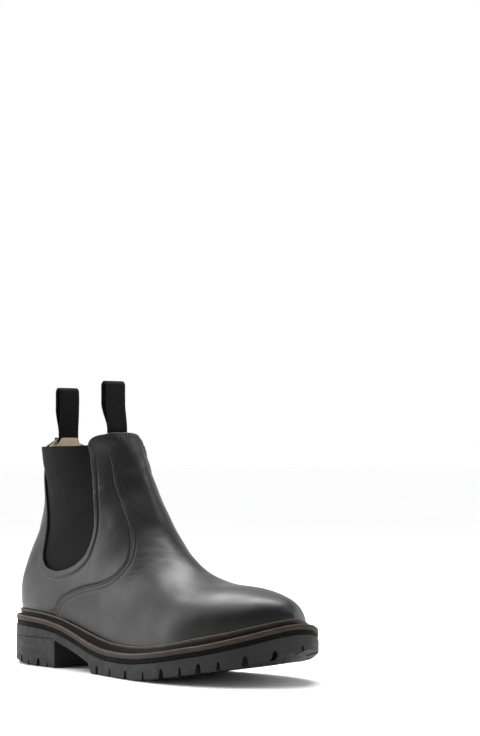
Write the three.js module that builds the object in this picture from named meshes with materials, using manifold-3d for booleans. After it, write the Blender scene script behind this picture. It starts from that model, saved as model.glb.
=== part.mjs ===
// Chelsea boot for the right foot, in millimetres, +Z up.
// While it is drawn, x runs from the heel's back (0) to the toe's tip and y from the lateral side (-)
// to the medial side (+). The group is then moved, so that its origin is the bounding box's bottom centre.
import * as THREE from 'three';
import { mergeVertices } from 'three/addons/utils/BufferGeometryUtils.js';
import Module from 'manifold-3d';

const wasm = await Module();
wasm.setup();

// ---- Driving dimensions -------------------------------------------------------------------------

const GAP = 0.4; // clearance between neighbouring pieces
const SEAM_GAP = 0.35; // half of the clearance along a seam

// Heights of the sole's layers, at [x, z] points along the boot. The tread lifts at the back of the heel and at
// the toe, where its lines of equal height slant: they are at x + TREAD_SLANT * y.
const WELT_TOP = [[0, 37.7], [40, 37.2], [62, 35.8], [84, 32.6], [104, 27.7], [124, 22.9], [145, 19.6],
  [165, 18.5], [195, 19], [228, 22.6], [250, 26.4], [264, 29], [279, 33], [292, 37.4], [305, 43.6]];
const TREAD = [[-5, 4.6], [12, 2.6], [25, 1.3], [38, 0.4], [45, 0], [182, 0], [200, 1.7], [225, 4.9], [253, 9.4],
  [275, 12.9], [287, 16.3], [307, 24.4]];
const TREAD_SLANT = 0.22;
const WELT_THICKNESS = 4;
const MIDSOLE_THICKNESS = 2.6;
const MIDSOLE_RECESS = 0.6;
const HEEL_LENGTH = 79;
const HEEL_SEAT = 22; // top of the heel block
const ARCH_FRONT = [129, 134]; // where the forepart tread's sloping back edge starts and ends
const ARCH_RISE = [21, 7.5]; // underside of the waist at the heel and at the forepart
const LIP_HEIGHT = [[90, 4.2], [115, 4.9], [225, 4.9], [262, 6.4]]; // at [x, height] points
const LIP_THICKNESS = 1.3;
const LIP_GAP = 0.7; // between the lip and the upper
const WELT_WIDTH = 13.5;
const WELT_ROUND = 0.9; // inset of the welt's top edge
const THREAD = 0.8;
const RING_STEPS = 104;
const EDGE_STEPS = 360;

// Tread lugs.
const LUG_DEPTH = 7;
const LUG_REACH = 15;
const WIDE_SLOT = 5;
const NARROW_SLOT = 3;
// Slots' distances from the heel's back along the edge, on each side. They alternate, wide first.
const HEEL_SLOTS = [27, 40, 53, 65, 78, 90];
const FOREPART_SLOTS = [165, 186, 210, 233, 253, 270, 285, 300, 319];
const TOE_SLOTS = [340, 362]; // run on from the lateral side round the toe
// Depths of the wide and the narrow slots.
const HEEL_SLOT_DEPTHS = [6.2, 3.6];
const FOREPART_SLOT_DEPTHS = [6.8, 6.4];
const TOE_SLOT_DEPTHS = [4.6, 4];
// Straight grooves across the middle of the tread, as [x, half-length].
const CROSS_GROOVE = 4; // their width
const HEEL_GROOVES = [[38, 18], [60, 18]];
const FOREPART_GROOVES = [[152, 19], [172, 21], [192, 23], [212, 23], [232, 21], [252, 19]];

// Inner layers of the bottom.
const INSOLE_THICKNESS = 2.6;
const FOOTBED_THICKNESS = 3.6;
const FOOTBED_CLEARANCE = 1.6; // from the lining
const CORK_CLEARANCE = 0.6; // from the welt
const CORK_RECESS = 1.6; // under the welt's top
const SHANK = { from: 52, to: 142, half: 6, thickness: 1.2 };

// The outsole's edge in plan, from the heel's back along the lateral side and back along the medial one.
const SOLE_EDGE = [[0, 0], [9, -24], [33, -36.5], [72, -38.5], [108, -40.5], [150, -48], [195, -55.3],
  [232, -55.5], [266, -45], [291, -25], [304.5, 2], [303, 22], [291, 39], [268, 51], [232, 56],
  [192, 51], [150, 43], [112, 39.5], [72, 38], [33, 36], [9, 24]];

// Stations of the upper, from the toe to the collar. Each is a slanted half-ring that runs from its low
// point, on the feather line or the heel's back, up to its high point on the ridge of the instep.
// [low x, low z, high x, high z, lateral half-width, medial half-width, low y, high y, low angle, roundness over
// the half-ring's upper part, roundness under its widest point]
const STATIONS = [
  [293, 42, 293.5, 49, 0.2, 0.2, 13, 13, 0, 1, 1],
  [287, 38, 285.5, 56.5, 20, 16, 13, 12.5, 0, 0.87, 0.9],
  [276.5, 34, 273, 61.5, 34, 29.5, 11, 11, -4, 0.83, 0.85],
  [257, 28.8, 250, 66.5, 44, 40.5, 7, 8.5, -8, 0.85, 0.85],
  [228, 23.2, 221, 69, 48, 44.5, 2, 4.5, -10, 0.88, 0.88],
  [195, 19.5, 197, 77, 45, 42, 0, 2, -12, 0.95, 0.95],
  [160, 19.2, 176, 91, 40, 38, -1, 2, -18, 1, 1],
  [124, 23.7, 159, 108, 36.5, 36, -1, 2, -26, 1, 1],
  [84, 33.1, 147, 126, 36.5, 35, 0, 2, -31, 1, 0.95],
  [43, 38, 140, 137, 37.5, 35.5, 1, 2.5, -37, 1, 0.87],
  [16, 38.8, 135.5, 145, 38, 35, 1.5, 2.5, -55, 1, 0.8],
  [7, 38.8, 133, 149, 38, 34.5, 1.5, 2.5, -75, 1, 0.76],
  [5, 40, 131, 152, 37.5, 34.5, 1.5, 2.5, -90, 1, 0.75],
  [4.5, 52, 129.5, 155, 37, 35, 2.3, 2.5, -90, 1, 0.75],
  [7.5, 68, 127.5, 159, 35.5, 35.5, 3, 2, -90, 1, 0.88],
  [18, 90, 125, 163, 34, 35.5, 3, 1, -90, 1, 1],
  [27, 120, 122.5, 168, 34, 36, 3.5, 0, -90, 1, 1],
  [30, 150, 120, 173, 38.5, 36, 4, -2, -90, 1, 1],
  [30, 176, 116.5, 179, 41, 36.5, 4.5, -4, -90, 1, 1],
];
const [LATERAL, MEDIAL] = [4, 5]; // places of the half-widths in a station
const TOE_STATION = 0.01; // where the vamp starts at the toe's tip
const FOOT_RIDGE = 4.7; // the ridge station level with the foot of the vamp's seam
// The ridge station that each share of the vamp's seam, from its foot to just under its top, is joined to.
const RIDGE_SHARES = [[0, FOOT_RIDGE], [0.25, 5], [0.42, 5.4], [0.55, 6.2], [0.68, 8], [0.8, 11], [0.9, 15.4]];
const HEEL_STATION = 12; // the first station that closes round the heel's back
const WAIST_STATION = 6; // behind it a line of the skin at fixed p only rises
const LAST_STATION = STATIONS.length - 1;

// Depths of the upper's layers under its outer skin: [outer face, inner face].
const LEATHER = [0, -1.8];
const STIFFENER = [-2.3, -3];
const LINING = [-3.9, -4.7];
const HEEL_GRIP = [-5.2, -6];
const TAB_SEWN = [-5.2, -7.8];

// Seams in side view, [x, z].
const VAMP_SEAM = [[72, 39], [75, 46], [82, 52.5], [94, 57.5], [112, 62.5], [133, 66.5], [147.5, 72.5],
  [154.5, 81], [154, 89.5], [150, 100], [144, 111], [134.5, 124], [124, 142], [117, 162], [113.5, 176]];
const GORE_BACK = [[36, 168], [38.5, 155], [43, 142], [50, 129], [57, 118], [61, 108], [61.5, 98],
  [60, 89], [60.5, 81]];
const GORE_FOOT = [[60.5, 81], [65, 75.5], [76, 73]];
const GORE_FRONT = [[76, 73], [89, 75], [101.5, 79.5], [111, 86.5], [115, 95], [116, 104], [114.5, 114], [111.5, 127],
  [107.5, 142], [105.5, 156], [106.5, 172]];
const GORE_TOP = 168;
const SHOULDER = [106, 165]; // where the quarter's front edge starts to round over to the collar
const GORE_MARGIN = 5; // the gore's edge under the quarter
const BACK_STRIP_HALF = 9;
const COUNTER = { length: 66, foot: 43, rise: 60, drop: 10, steps: 13, rows: 4 };
const GRIP = { length: 56, foot: 46, rise: 66, drop: 8, steps: 13, rows: 4 };
const FEATHER_ROWS = 9; // rows of the vamp along its feather line
const TOE_PUFF_ROWS = 5;
const BACK_ROWS = 11; // rows of a quarter down its back edge
const FOOT_ROWS = 15; // along its foot
const SEAM_ROWS = 16; // and up the vamp's seam
const BACK_PEAK = 174.5;
const FRONT_PEAK = 178;

// Pull tabs.
const TAB_WIDTH = 18;
const TAB_HEIGHT = 37;
const WEBBING = 1.3;
const TAB_GAP = 5;
const TAB_SEWN_LENGTH = 17;
const TAB_HINGE_RISE = 2; // the fold line over the collar's edge

// ---- Small geometry helpers ---------------------------------------------------------------------

const vector = (x, y, z) => new THREE.Vector3(x, y, z);
const mix = (a, b, t) => a + (b - a) * t;
const clamp = THREE.MathUtils.clamp;
const range = (n) => Array.from({ length: n }, (_, i) => i);

/** The value between a and b where a test turns from false to true. */
function bisect(a, b, test) {
  let [low, high] = [a, b];
  for (let i = 0; i < 40; i += 1) {
    const middle = (low + high) / 2;
    if (test(middle)) high = middle;
    else low = middle;
  }
  return (low + high) / 2;
}

/** Points spread evenly along a smooth curve through [x, y] points. */
function smooth(points, count, closed = false) {
  const knots = points.map(([x, y]) => vector(x, y, 0));
  const curve = new THREE.CatmullRomCurve3(knots, closed, 'centripetal');
  return curve.getSpacedPoints(closed ? count : count - 1).slice(0, count).map((p) => [p.x, p.y]);
}

/** The value at x of a smooth curve through [x, value] points, flat beyond its ends. */
function height(table, x) {
  const last = table.length - 1;
  const at = clamp(x, table[0][0], table[last][0]);
  let i = 0;
  while (i < last - 1 && at > table[i + 1][0]) i += 1;
  const slope = (k) => {
    const a = table[Math.max(k - 1, 0)];
    const b = table[Math.min(k + 1, last)];
    return (b[1] - a[1]) / (b[0] - a[0]);
  };
  const span = table[i + 1][0] - table[i][0];
  const u = (at - table[i][0]) / span;
  const [h0, h1] = [table[i][1], table[i + 1][1]];
  return h0 * (2 * u ** 3 - 3 * u ** 2 + 1) + h1 * (3 * u ** 2 - 2 * u ** 3)
    + span * (slope(i) * (u ** 3 - 2 * u ** 2 + u) + slope(i + 1) * (u ** 3 - u ** 2));
}
const weltTop = (x) => height(WELT_TOP, x);
const tread = (x, y) => Math.max(0, height(TREAD, x + TREAD_SLANT * y));
const weltBottom = (x) => weltTop(x) - WELT_THICKNESS;
const midsoleTop = (x) => weltBottom(x) - GAP;
const midsoleBottom = (x) => midsoleTop(x) - MIDSOLE_THICKNESS;
const outsoleTop = (x) => midsoleBottom(x) - GAP;

/** A closed geometry from points and the triangles between them, turned so that its faces point out. */
function closedGeometry(points, triangles) {
  let volume = 0;
  for (const [a, b, c] of triangles) {
    volume += points[a].dot(vector(0, 0, 0).crossVectors(points[b], points[c]));
  }
  const order = volume < 0 ? triangles.map(([a, b, c]) => [a, c, b]) : triangles;
  const geometry = new THREE.BufferGeometry().setFromPoints(points);
  geometry.setIndex(order.flat());
  return geometry;
}

/** The closed solid between two equal grids of points: their faces, joined by walls round the rim. */
function solidBetween(upperGrid, lowerGrid) {
  const rows = upperGrid.length;
  const cols = upperGrid[0].length;
  const points = [...upperGrid.flat(), ...lowerGrid.flat()];
  const below = rows * cols;
  const triangles = [];
  const quad = (a, b, c, d) => triangles.push([a, b, c], [a, c, d]);
  for (let i = 0; i + 1 < rows; i += 1) {
    for (let j = 0; j + 1 < cols; j += 1) {
      const k = i * cols + j;
      quad(k, k + 1, k + cols + 1, k + cols);
      quad(below + k, below + k + cols, below + k + cols + 1, below + k + 1);
    }
  }
  for (let j = 0; j + 1 < cols; j += 1) {
    const far = (rows - 1) * cols + j;
    quad(j, below + j, below + j + 1, j + 1);
    quad(far, far + 1, below + far + 1, below + far);
  }
  for (let i = 0; i + 1 < rows; i += 1) {
    const near = i * cols;
    const far = near + cols - 1;
    quad(near, near + cols, below + near + cols, below + near);
    quad(far, below + far, below + far + cols, far + cols);
  }
  return closedGeometry(points, triangles);
}

/** A closed ring: a section's points at every step, each step joined to the next and the last to the first. */
function ring(steps) {
  const count = steps[0].length;
  const triangles = [];
  steps.forEach((_, i) => {
    const here = i * count;
    const next = ((i + 1) % steps.length) * count;
    for (let j = 0; j < count; j += 1) {
      const k = (j + 1) % count;
      triangles.push([here + j, here + k, next + k], [here + j, next + k, next + j]);
    }
  });
  return closedGeometry(steps.flat(), triangles);
}

/** A manifold solid from a closed geometry. */
function solid(geometry) {
  const bare = geometry.clone();
  bare.deleteAttribute('normal');
  bare.deleteAttribute('uv');
  const merged = mergeVertices(bare, 1e-4);
  return new wasm.Manifold(new wasm.Mesh({
    numProp: 3,
    vertProperties: new Float32Array(merged.attributes.position.array),
    triVerts: new Uint32Array(merged.index.array),
  }));
}

/** A geometry from a manifold solid. */
function geometryOf(manifold) {
  const mesh = manifold.getMesh();
  const geometry = new THREE.BufferGeometry();
  geometry.setAttribute('position', new THREE.BufferAttribute(mesh.vertProperties, 3));
  geometry.setIndex(new THREE.BufferAttribute(mesh.triVerts, 1));
  return geometry;
}

// ---- The sole's outline ---------------------------------------------------------------------------

/** A closed outline moved inwards by an inset. */
function inset(outline, distance) {
  const count = outline.length;
  return outline.map(([x, y], i) => {
    const [ax, ay] = outline[(i + count - 1) % count];
    const [bx, by] = outline[(i + 1) % count];
    const length = Math.hypot(bx - ax, by - ay);
    return [x - ((by - ay) / length) * distance, y + ((bx - ax) / length) * distance];
  });
}
const edgePoints = (distance, count) => inset(smooth(SOLE_EDGE, count, true), distance);

/** The lateral and medial y of an outline where it crosses x. */
function span(outline, x) {
  const crossings = [];
  outline.forEach(([ax, ay], i) => {
    const [bx, by] = outline[(i + 1) % outline.length];
    if ((ax <= x) !== (bx <= x)) crossings.push(mix(ay, by, (x - ax) / (bx - ax)));
  });
  return [Math.min(...crossings), Math.max(...crossings)];
}

/** A flat layer of the sole inside an outline, between two height functions. */
function plate(outline, top, bottom, { from = 0, to = 305, rows = 22, columns = 3, at = [] } = {}) {
  const xs = outline.map(([x]) => x);
  const start = Math.max(from, Math.min(...xs) + 0.05);
  const end = Math.min(to, Math.max(...xs) - 0.05);
  const even = range(rows + 1).map((i) => mix(start, end, (1 - Math.cos((Math.PI * i) / rows)) / 2));
  const stops = [...even.filter((x) => at.every((a) => Math.abs(a - x) > 2)), ...at].sort((a, b) => a - b);
  const grid = (z) => stops.map((x) => {
    const [low, high] = span(outline, x);
    return range(columns + 1).map((j) => {
      const y = mix(low, high, j / columns);
      return vector(x, y, z(x, y));
    });
  });
  return solidBetween(grid(top), grid(bottom));
}

// ---- The upper's skin -----------------------------------------------------------------------------

/**
 * A station's values at a fractional station number, by a Catmull-Rom spline through the rows. Before the
 * first row the half-widths change sign and the other values mirror, which rounds the toe's tip.
 */
function station(s) {
  const i = clamp(Math.floor(s), 0, LAST_STATION - 1);
  const u = s - i;
  const row = (k) => STATIONS[k];
  return row(i).map((p1, k) => {
    const p2 = row(i + 1)[k];
    const before = k === LATERAL || k === MEDIAL ? -p2 : p2;
    const p0 = i > 0 ? row(i - 1)[k] : before;
    const p3 = i + 2 <= LAST_STATION ? row(i + 2)[k] : 2 * p2 - p1;
    return p1 + 0.5 * u * (p2 - p0 + u * (2 * p0 - 5 * p1 + 4 * p2 - p3 + u * (3 * (p1 - p2) + p3 - p0)));
  });
}

const power = (value, exponent) => Math.sign(value) * Math.abs(value) ** exponent;
const lowAngle = (degrees) => THREE.MathUtils.degToRad(clamp(degrees, -90, 0));

/** A point of the outer skin: station s, p from 0 (low) to 1 (ridge), side -1 lateral or +1 medial. */
function skin(s, p, side) {
  const [lx, lz, hx, hz, lateral, medial, ly, hy, low, upper, under] = station(s);
  const start = lowAngle(low);
  const angle = mix(start, Math.PI / 2, p);
  const roundness = angle < 0 ? under : upper;
  const foot = power(Math.sin(start), under);
  const q = (power(Math.sin(angle), roundness) - foot) / (1 - foot);
  const width = Math.abs(Math.cos(angle)) ** roundness * (side < 0 ? lateral : medial);
  return vector(mix(lx, hx, q), mix(ly, hy, q) + side * width, mix(lz, hz, q));
}

/** The skin's outward direction. */
function outward(s, p, side) {
  const step = 0.01;
  const [s0, s1] = [clamp(s - step, 0, LAST_STATION), clamp(s + step, 0, LAST_STATION)];
  const [p0, p1] = [clamp(p - step, 0, 1), clamp(p + step, 0, 1)];
  const alongS = skin(s1, p, side).sub(skin(s0, p, side));
  const alongP = skin(s, p1, side).sub(skin(s, p0, side));
  return alongS.cross(alongP).multiplyScalar(side).normalize();
}

/** A vertex of a panel: [s, p, side], where p is 1 on the ridge and 0 on the heel's back line. */
function skinPoint([s, p, side], depth) {
  const onLine = p > 0.9999 || (p < 0.0001 && s >= HEEL_STATION);
  const normal = outward(s, p, side);
  if (onLine) normal.add(outward(s, p, -side)).normalize();
  return skin(s, p, side).addScaledVector(normal, depth);
}

/** The panel over a grid of [s, p, side] points, between two depths under the skin. */
function panel(grid, [outer, inner]) {
  const layer = (depth) => grid.map((row) => row.map((point) => skinPoint(point, depth)));
  return solidBetween(layer(outer), layer(inner));
}

/** The [s, p] whose side view is at (x, z). */
function locate([x, z]) {
  const across = (s) => {
    const [lx, lz, hx, hz] = station(s);
    return (hx - lx) * (z - lz) - (hz - lz) * (x - lx);
  };
  const top = across(LAST_STATION) > 0;
  const s = bisect(0.02, LAST_STATION, (at) => across(at) > 0 === top);
  const [lx, lz, hx, hz, , , , , low, upper, under] = station(s);
  const q = clamp(((x - lx) * (hx - lx) + (z - lz) * (hz - lz)) / ((hx - lx) ** 2 + (hz - lz) ** 2), 0, 1);
  const start = lowAngle(low);
  const foot = power(Math.sin(start), under);
  const rise = mix(foot, 1, q);
  const sine = clamp(power(rise, 1 / (rise < 0 ? under : upper)), -1, 1);
  return [s, clamp((Math.asin(sine) - start) / (Math.PI / 2 - start), 0, 1)];
}

/** The side view [x, z] of a skin point. */
function sideView([s, p]) {
  const point = skin(s, p, -1);
  return [point.x, point.z];
}

/** The station where a line of the skin at fixed p reaches a height. */
function stationAt(p, z) {
  return bisect(WAIST_STATION, LAST_STATION, (s) => skin(s, p, -1).z >= z);
}

/** A side-view curve moved sideways by a distance, positive to the left of its direction. */
function shifted(curve, distance) {
  return curve.map(([x, z], i) => {
    const [ax, az] = curve[Math.max(i - 1, 0)];
    const [bx, bz] = curve[Math.min(i + 1, curve.length - 1)];
    const length = Math.hypot(bx - ax, bz - az);
    return [x - ((bz - az) / length) * distance, z + ((bx - ax) / length) * distance];
  });
}

// ---- The upper's pieces ---------------------------------------------------------------------------

const stripEdge = (s) => {
  const values = station(s);
  const under = values.at(-1);
  return (90 - THREE.MathUtils.radToDeg(Math.acos((BACK_STRIP_HALF / values[LATERAL]) ** (1 / under)))) / 180;
};
const seamFoot = locate(VAMP_SEAM[0])[0];
const stripFoot = bisect(HEEL_STATION - 2, HEEL_STATION, (s) => skin(s, 0, -1).y > station(s)[6] - BACK_STRIP_HALF);

/** Rows from the lateral edge over the ridge to the medial edge, for edge points and ridge stations. */
function overRidge(edges, columns) {
  return edges.map(([edge, ridge]) => {
    const [x0, z0] = sideView(edge);
    const [x1, z1] = sideView([ridge, 1]);
    const half = range(columns).map((j) => {
      const t = Math.sin((Math.PI / 2) * (j / columns));
      return j === 0 ? edge : locate([mix(x0, x1, t), mix(z0, z1, t)]);
    });
    return [
      ...half.map(([s, p]) => [s, p, -1]),
      [ridge, 1, -1],
      ...half.map(([s, p]) => [s, p, 1]).reverse(),
    ];
  });
}

/** Edge points and ridge stations of the vamp: along the feather line, then up its seam. */
function vampEdges(toeStation, featherRows) {
  const feather = range(featherRows).map((i) => {
    const t = i / featherRows;
    return [[mix(toeStation, seamFoot, t), 0], mix(toeStation, FOOT_RIDGE, t ** 1.1)];
  });
  const seam = shifted(smooth(VAMP_SEAM, SEAM_ROWS), -SEAM_GAP);
  const top = stationAt(1, FRONT_PEAK);
  const ridgeAt = [...RIDGE_SHARES, [1, top]];
  return [...feather, ...seam.map((point, i) => [locate(point), height(ridgeAt, i / (SEAM_ROWS - 1))])];
}

const vampGrid = overRidge(vampEdges(TOE_STATION, FEATHER_ROWS), 8);

/** The edge between the back strip and a quarter, from the collar down, moved by an amount of p. */
function backEdge(shift) {
  const top = stationAt(stripEdge(LAST_STATION), BACK_PEAK);
  return range(BACK_ROWS).map((i) => {
    const s = mix(top, HEEL_STATION + 0.05, i / (BACK_ROWS - 1));
    return [s, stripEdge(s) + shift];
  });
}

/** The quarter's rows, from its edge round the gore to its outer edge. */
function quarterGrid(side, columns) {
  const gore = [
    ...smooth(GORE_BACK, BACK_ROWS),
    ...smooth(GORE_FOOT, FOOT_ROWS + 1).slice(1),
    ...smooth([...GORE_FRONT.slice(0, -1), SHOULDER], SEAM_ROWS).slice(1),
  ];
  const feather = range(FOOT_ROWS - 1).map((i) => mix(stripFoot, seamFoot, i / (FOOT_ROWS - 1)));
  const outer = [
    ...backEdge(SEAM_GAP / 100),
    ...feather.map((s) => [s, 0]),
    ...shifted(smooth(VAMP_SEAM, SEAM_ROWS), SEAM_GAP).map(locate),
  ];
  const inner = shifted(gore, -SEAM_GAP).map(locate);
  const [x0, z0] = sideView(inner.at(-1));
  const [x1, z1] = sideView(outer.at(-1));
  const collar = (t) => {
    const turn = (Math.PI / 2) * t;
    return locate([mix(x0, x1, 1 - Math.cos(turn)), mix(z0, z1, Math.sin(turn))]);
  };
  return inner.map(([s, p], i) => range(columns + 1).map((j) => {
    const t = j / columns;
    if (i === inner.length - 1) return [...collar(t), side];
    return [mix(s, outer[i][0], t), mix(p, outer[i][1], t), side];
  }));
}

/** The strip down the heel's back, between both quarters' edges. */
function backStripGrid() {
  return backEdge(-SEAM_GAP / 100).map(([s, p]) => [
    [s, p, -1], [s, p / 2, -1], [s, 0, -1], [s, p / 2, 1], [s, p, 1],
  ]);
}

/** The elastic gore: wider than its window by a margin that lies under the quarter. */
function goreGrid(side, rows, columns) {
  const top = GORE_TOP - 0.5;
  const behind = shifted(smooth([...GORE_BACK, ...GORE_FOOT.slice(1)], rows), -GORE_MARGIN);
  const ahead = shifted(smooth([...GORE_FRONT].reverse().slice(0, -1), rows), GORE_MARGIN);
  return range(rows).map((i) => {
    const [x0, z0] = behind[i];
    const [x1, z1] = ahead[i];
    return range(columns + 1).map((j) => {
      const t = j / columns;
      const turn = mix(t, (1 - Math.cos(Math.PI * t)) / 2, 0.4);
      return [...locate([mix(x0, x1, turn), mix(Math.min(z0, top), Math.min(z1, top), turn)]), side];
    });
  });
}

/** A piece wrapped round the heel, from one height up to another that falls by a drop at its ends. */
function heelWrap({ length, foot, rise, drop, steps, rows }) {
  const low = stationAt(0, foot);
  const high = stationAt(0, rise);
  const at = (turn, z, s) => {
    const back = skin(s, 0, -1).x;
    return locate([back + (length - back) * turn, z]);
  };
  const half = range(steps).map((i) => {
    const turn = 1 - Math.cos((Math.PI / 2) * (1 - i / steps));
    const [s0, p0] = at(turn, foot, low);
    const [s1, p1] = at(turn, rise - drop * turn, high);
    return range(rows + 1).map((j) => [mix(s0, s1, j / rows), mix(p0, p1, j / rows)]);
  });
  const line = range(rows + 1).map((j) => [mix(low, high, j / rows), 0, -1]);
  const on = (side) => half.map((row) => row.map(([s, p]) => [s, p, side]));
  return [...on(-1), line, ...on(1).reverse()];
}

/** A flat patch inside the shaft, centred on the ridge (p 1) or on the back line (p 0). */
function sewnPatch(centre, top) {
  const [, , , , lateral] = station(LAST_STATION);
  const reach = THREE.MathUtils.radToDeg(Math.asin(TAB_WIDTH / 2 / lateral)) / 180;
  const edge = centre === 1 ? 1 - reach : reach;
  const low = stationAt(centre, top - TAB_SEWN_LENGTH);
  return range(4).map((i) => {
    const s = mix(low, stationAt(centre, top), i / 3);
    return [[s, edge, -1], [s, centre, -1], [s, edge, 1]];
  });
}

/** A pull tab's webbing, folded into a loop, in its own frame: fold line at the origin, +Y up, +X out. */
function loopGeometry(lean) {
  const half = TAB_GAP / 2 + WEBBING;
  const shape = new THREE.Shape();
  const sway = (v) => -lean * THREE.MathUtils.smoothstep(v, 0, TAB_HEIGHT * 0.55);
  const profile = (start, wide, top) => {
    const legs = range(7).map((i) => {
      const v = mix(start, top - wide, i / 6);
      return [wide * mix(WEBBING / half, 1, THREE.MathUtils.smoothstep(v, 0, TAB_HEIGHT * 0.55)), v];
    });
    const crown = range(5).map((i) => {
      const angle = (Math.PI * (i + 1)) / 12;
      return [wide * Math.cos(angle), top - wide + wide * Math.sin(angle)];
    });
    const right = [...legs, ...crown];
    const left = [...right].reverse().map(([u, v]) => [-u, v]);
    return [...right, [0, top], ...left].map(([u, v]) => new THREE.Vector2(u + sway(v), v));
  };
  const heel = [-60, -90, -120].map((degrees) => {
    const angle = THREE.MathUtils.degToRad(degrees);
    return new THREE.Vector2(WEBBING * Math.cos(angle), WEBBING * Math.sin(angle));
  });
  shape.setFromPoints([...profile(0, half, TAB_HEIGHT), ...heel.reverse()]);
  const hole = new THREE.Path().setFromPoints(profile(9, TAB_GAP / 2, TAB_HEIGHT - WEBBING));
  shape.holes.push(hole);
  const geometry = new THREE.ExtrudeGeometry(shape, { depth: TAB_WIDTH, bevelEnabled: false });
  return geometry.translate(0, 0, -TAB_WIDTH / 2);
}

/** Where a tab folds: just over the collar's edge, above the middle of its sewn end. */
function tabFrame(centre, top) {
  const s = stationAt(centre, top);
  const normal = outward(s, centre, -1).add(outward(s, centre, 1)).setZ(0).normalize();
  const depth = (TAB_SEWN[0] + TAB_SEWN[1]) / 2;
  const origin = skin(s, centre, -1).addScaledVector(normal, depth).setZ(top + TAB_HINGE_RISE);
  const up = vector(0, 0, 1);
  return { origin, basis: new THREE.Matrix4().makeBasis(normal, up, normal.clone().cross(up)) };
}

// ---- The sole's pieces ----------------------------------------------------------------------------

const lipHeight = (x) => height(LIP_HEIGHT, x);

/** The upper's outline in plan at a share of the lip's height, in the sole edge's direction. */
function upperOutline(share) {
  const heel = Math.max(HEEL_STATION, stationAt(0, weltTop(0) + share * lipHeight(0)));
  const side = (sign) => range(61).map((i) => {
    const s = mix(heel, 0.05, i / 60);
    const p = bisect(0, 0.5, (at) => {
      const point = skin(s, at, sign);
      return point.z >= weltTop(point.x) + share * lipHeight(point.x);
    });
    const { x, y } = skin(s, p, sign);
    return [x, y];
  });
  return [...side(-1), ...side(1).reverse().slice(0, -1)];
}

/** How far each evenly spaced point of the sole's edge is from the upper at a share of the lip's height. */
function upperInsets(share, count) {
  const outline = upperOutline(share);
  return edgePoints(0, count).map(([x, y]) => Math.min(...outline.map(([ax, ay], i) => {
    const [bx, by] = outline[(i + 1) % outline.length];
    const along = (x - ax) * (bx - ax) + (y - ay) * (by - ay);
    const t = clamp(along / ((bx - ax) ** 2 + (by - ay) ** 2), 0, 1);
    return Math.hypot(x - mix(ax, bx, t), y - mix(ay, by, t));
  })));
}

/** A ring that follows the sole's edge; sections[i] holds [inset, rise over the welt's top] points. */
function edgeRing(sections) {
  const count = sections.length;
  const edge = edgePoints(0, count);
  const inner = edgePoints(1, count);
  return ring(sections.map((section, i) => section.map(([inset, rise]) => {
    const x = mix(edge[i][0], inner[i][0], inset);
    const y = mix(edge[i][1], inner[i][1], inset);
    return vector(x, y, weltTop(x) + rise);
  })));
}

/** The storm welt: a flat ring with a lip that stands against the upper. */
function weltGeometry(count = RING_STEPS) {
  const foot = upperInsets(0, count);
  const waist = upperInsets(0.5, count);
  const head = upperInsets(1, count);
  return edgeRing(edgePoints(0, count).map(([x], i) => {
    const lip = lipHeight(x);
    return [
      [0.8, -WELT_THICKNESS], [0.2, -WELT_THICKNESS + 0.8], [0.2, -1], [WELT_ROUND, 0],
      [foot[i] - LIP_GAP - LIP_THICKNESS, -0.1], [head[i] - LIP_GAP - LIP_THICKNESS, lip],
      [head[i] - LIP_GAP, lip], [waist[i] - LIP_GAP, lip / 2], [foot[i] - LIP_GAP, 0.1],
      [WELT_WIDTH, 0], [WELT_WIDTH, -WELT_THICKNESS],
    ];
  }));
}

/** The thread that lies along the welt's groove. */
function threadRing(count = RING_STEPS) {
  const foot = upperInsets(0, count);
  const section = (inset) => range(5).map((i) => {
    const angle = (2 * Math.PI * i) / 5;
    return [inset + (THREAD / 2) * Math.cos(angle), GAP + THREAD / 2 + (THREAD / 2) * Math.sin(angle)];
  });
  return edgeRing(foot.map((f) => section(mix(WELT_ROUND, f - LIP_GAP - LIP_THICKNESS, 0.5))));
}

/** The outsole's underside before the lugs are cut. */
function outsoleBottom(x, y) {
  const [foot, end] = ARCH_FRONT;
  if (x < HEEL_LENGTH + 0.1) return HEEL_SEAT + GAP;
  if (x < foot) return mix(...ARCH_RISE, (x - HEEL_LENGTH) / (foot - HEEL_LENGTH));
  if (x < end) return mix(ARCH_RISE[1], 0, (x - foot) / (end - foot));
  return tread(x, y);
}

const treadEdge = edgePoints(0, 720);
const nextOnEdge = (i) => treadEdge[(i + 1) % treadEdge.length];
const edgeLength = treadEdge.reduce((sum, [x, y], i) => {
  const [nx, ny] = nextOnEdge(i);
  return sum + Math.hypot(nx - x, ny - y);
}, 0);

/** A slot between two lugs, narrower at its top, at a distance along the sole's edge. */
function slot(distance, width, depth) {
  const i = Math.round(((distance / edgeLength + 1) % 1) * treadEdge.length) % treadEdge.length;
  const [x, y] = treadEdge[i];
  const [nx, ny] = nextOnEdge(i);
  const tangent = vector(nx - x, ny - y, 0).normalize();
  const inward = vector(-tangent.y, tangent.x, 0);
  const half = width / 2;
  const foot = tread(x, y);
  const outline = [[-half, -3], [half, -3], [half, 0], [half * 0.55, depth - 0.6], [0, depth],
    [-half * 0.55, depth - 0.6], [-half, 0]];
  const shape = new THREE.Shape(outline.map(([u, v]) => new THREE.Vector2(u, v)));
  const cutter = new THREE.ExtrudeGeometry(shape, { depth: LUG_REACH + 3, bevelEnabled: false });
  const frame = new THREE.Matrix4().makeBasis(tangent.clone().negate(), vector(0, 0, 1), inward);
  frame.setPosition(vector(x, y, foot).addScaledVector(inward, -3));
  return solid(cutter.applyMatrix4(frame));
}

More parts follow.
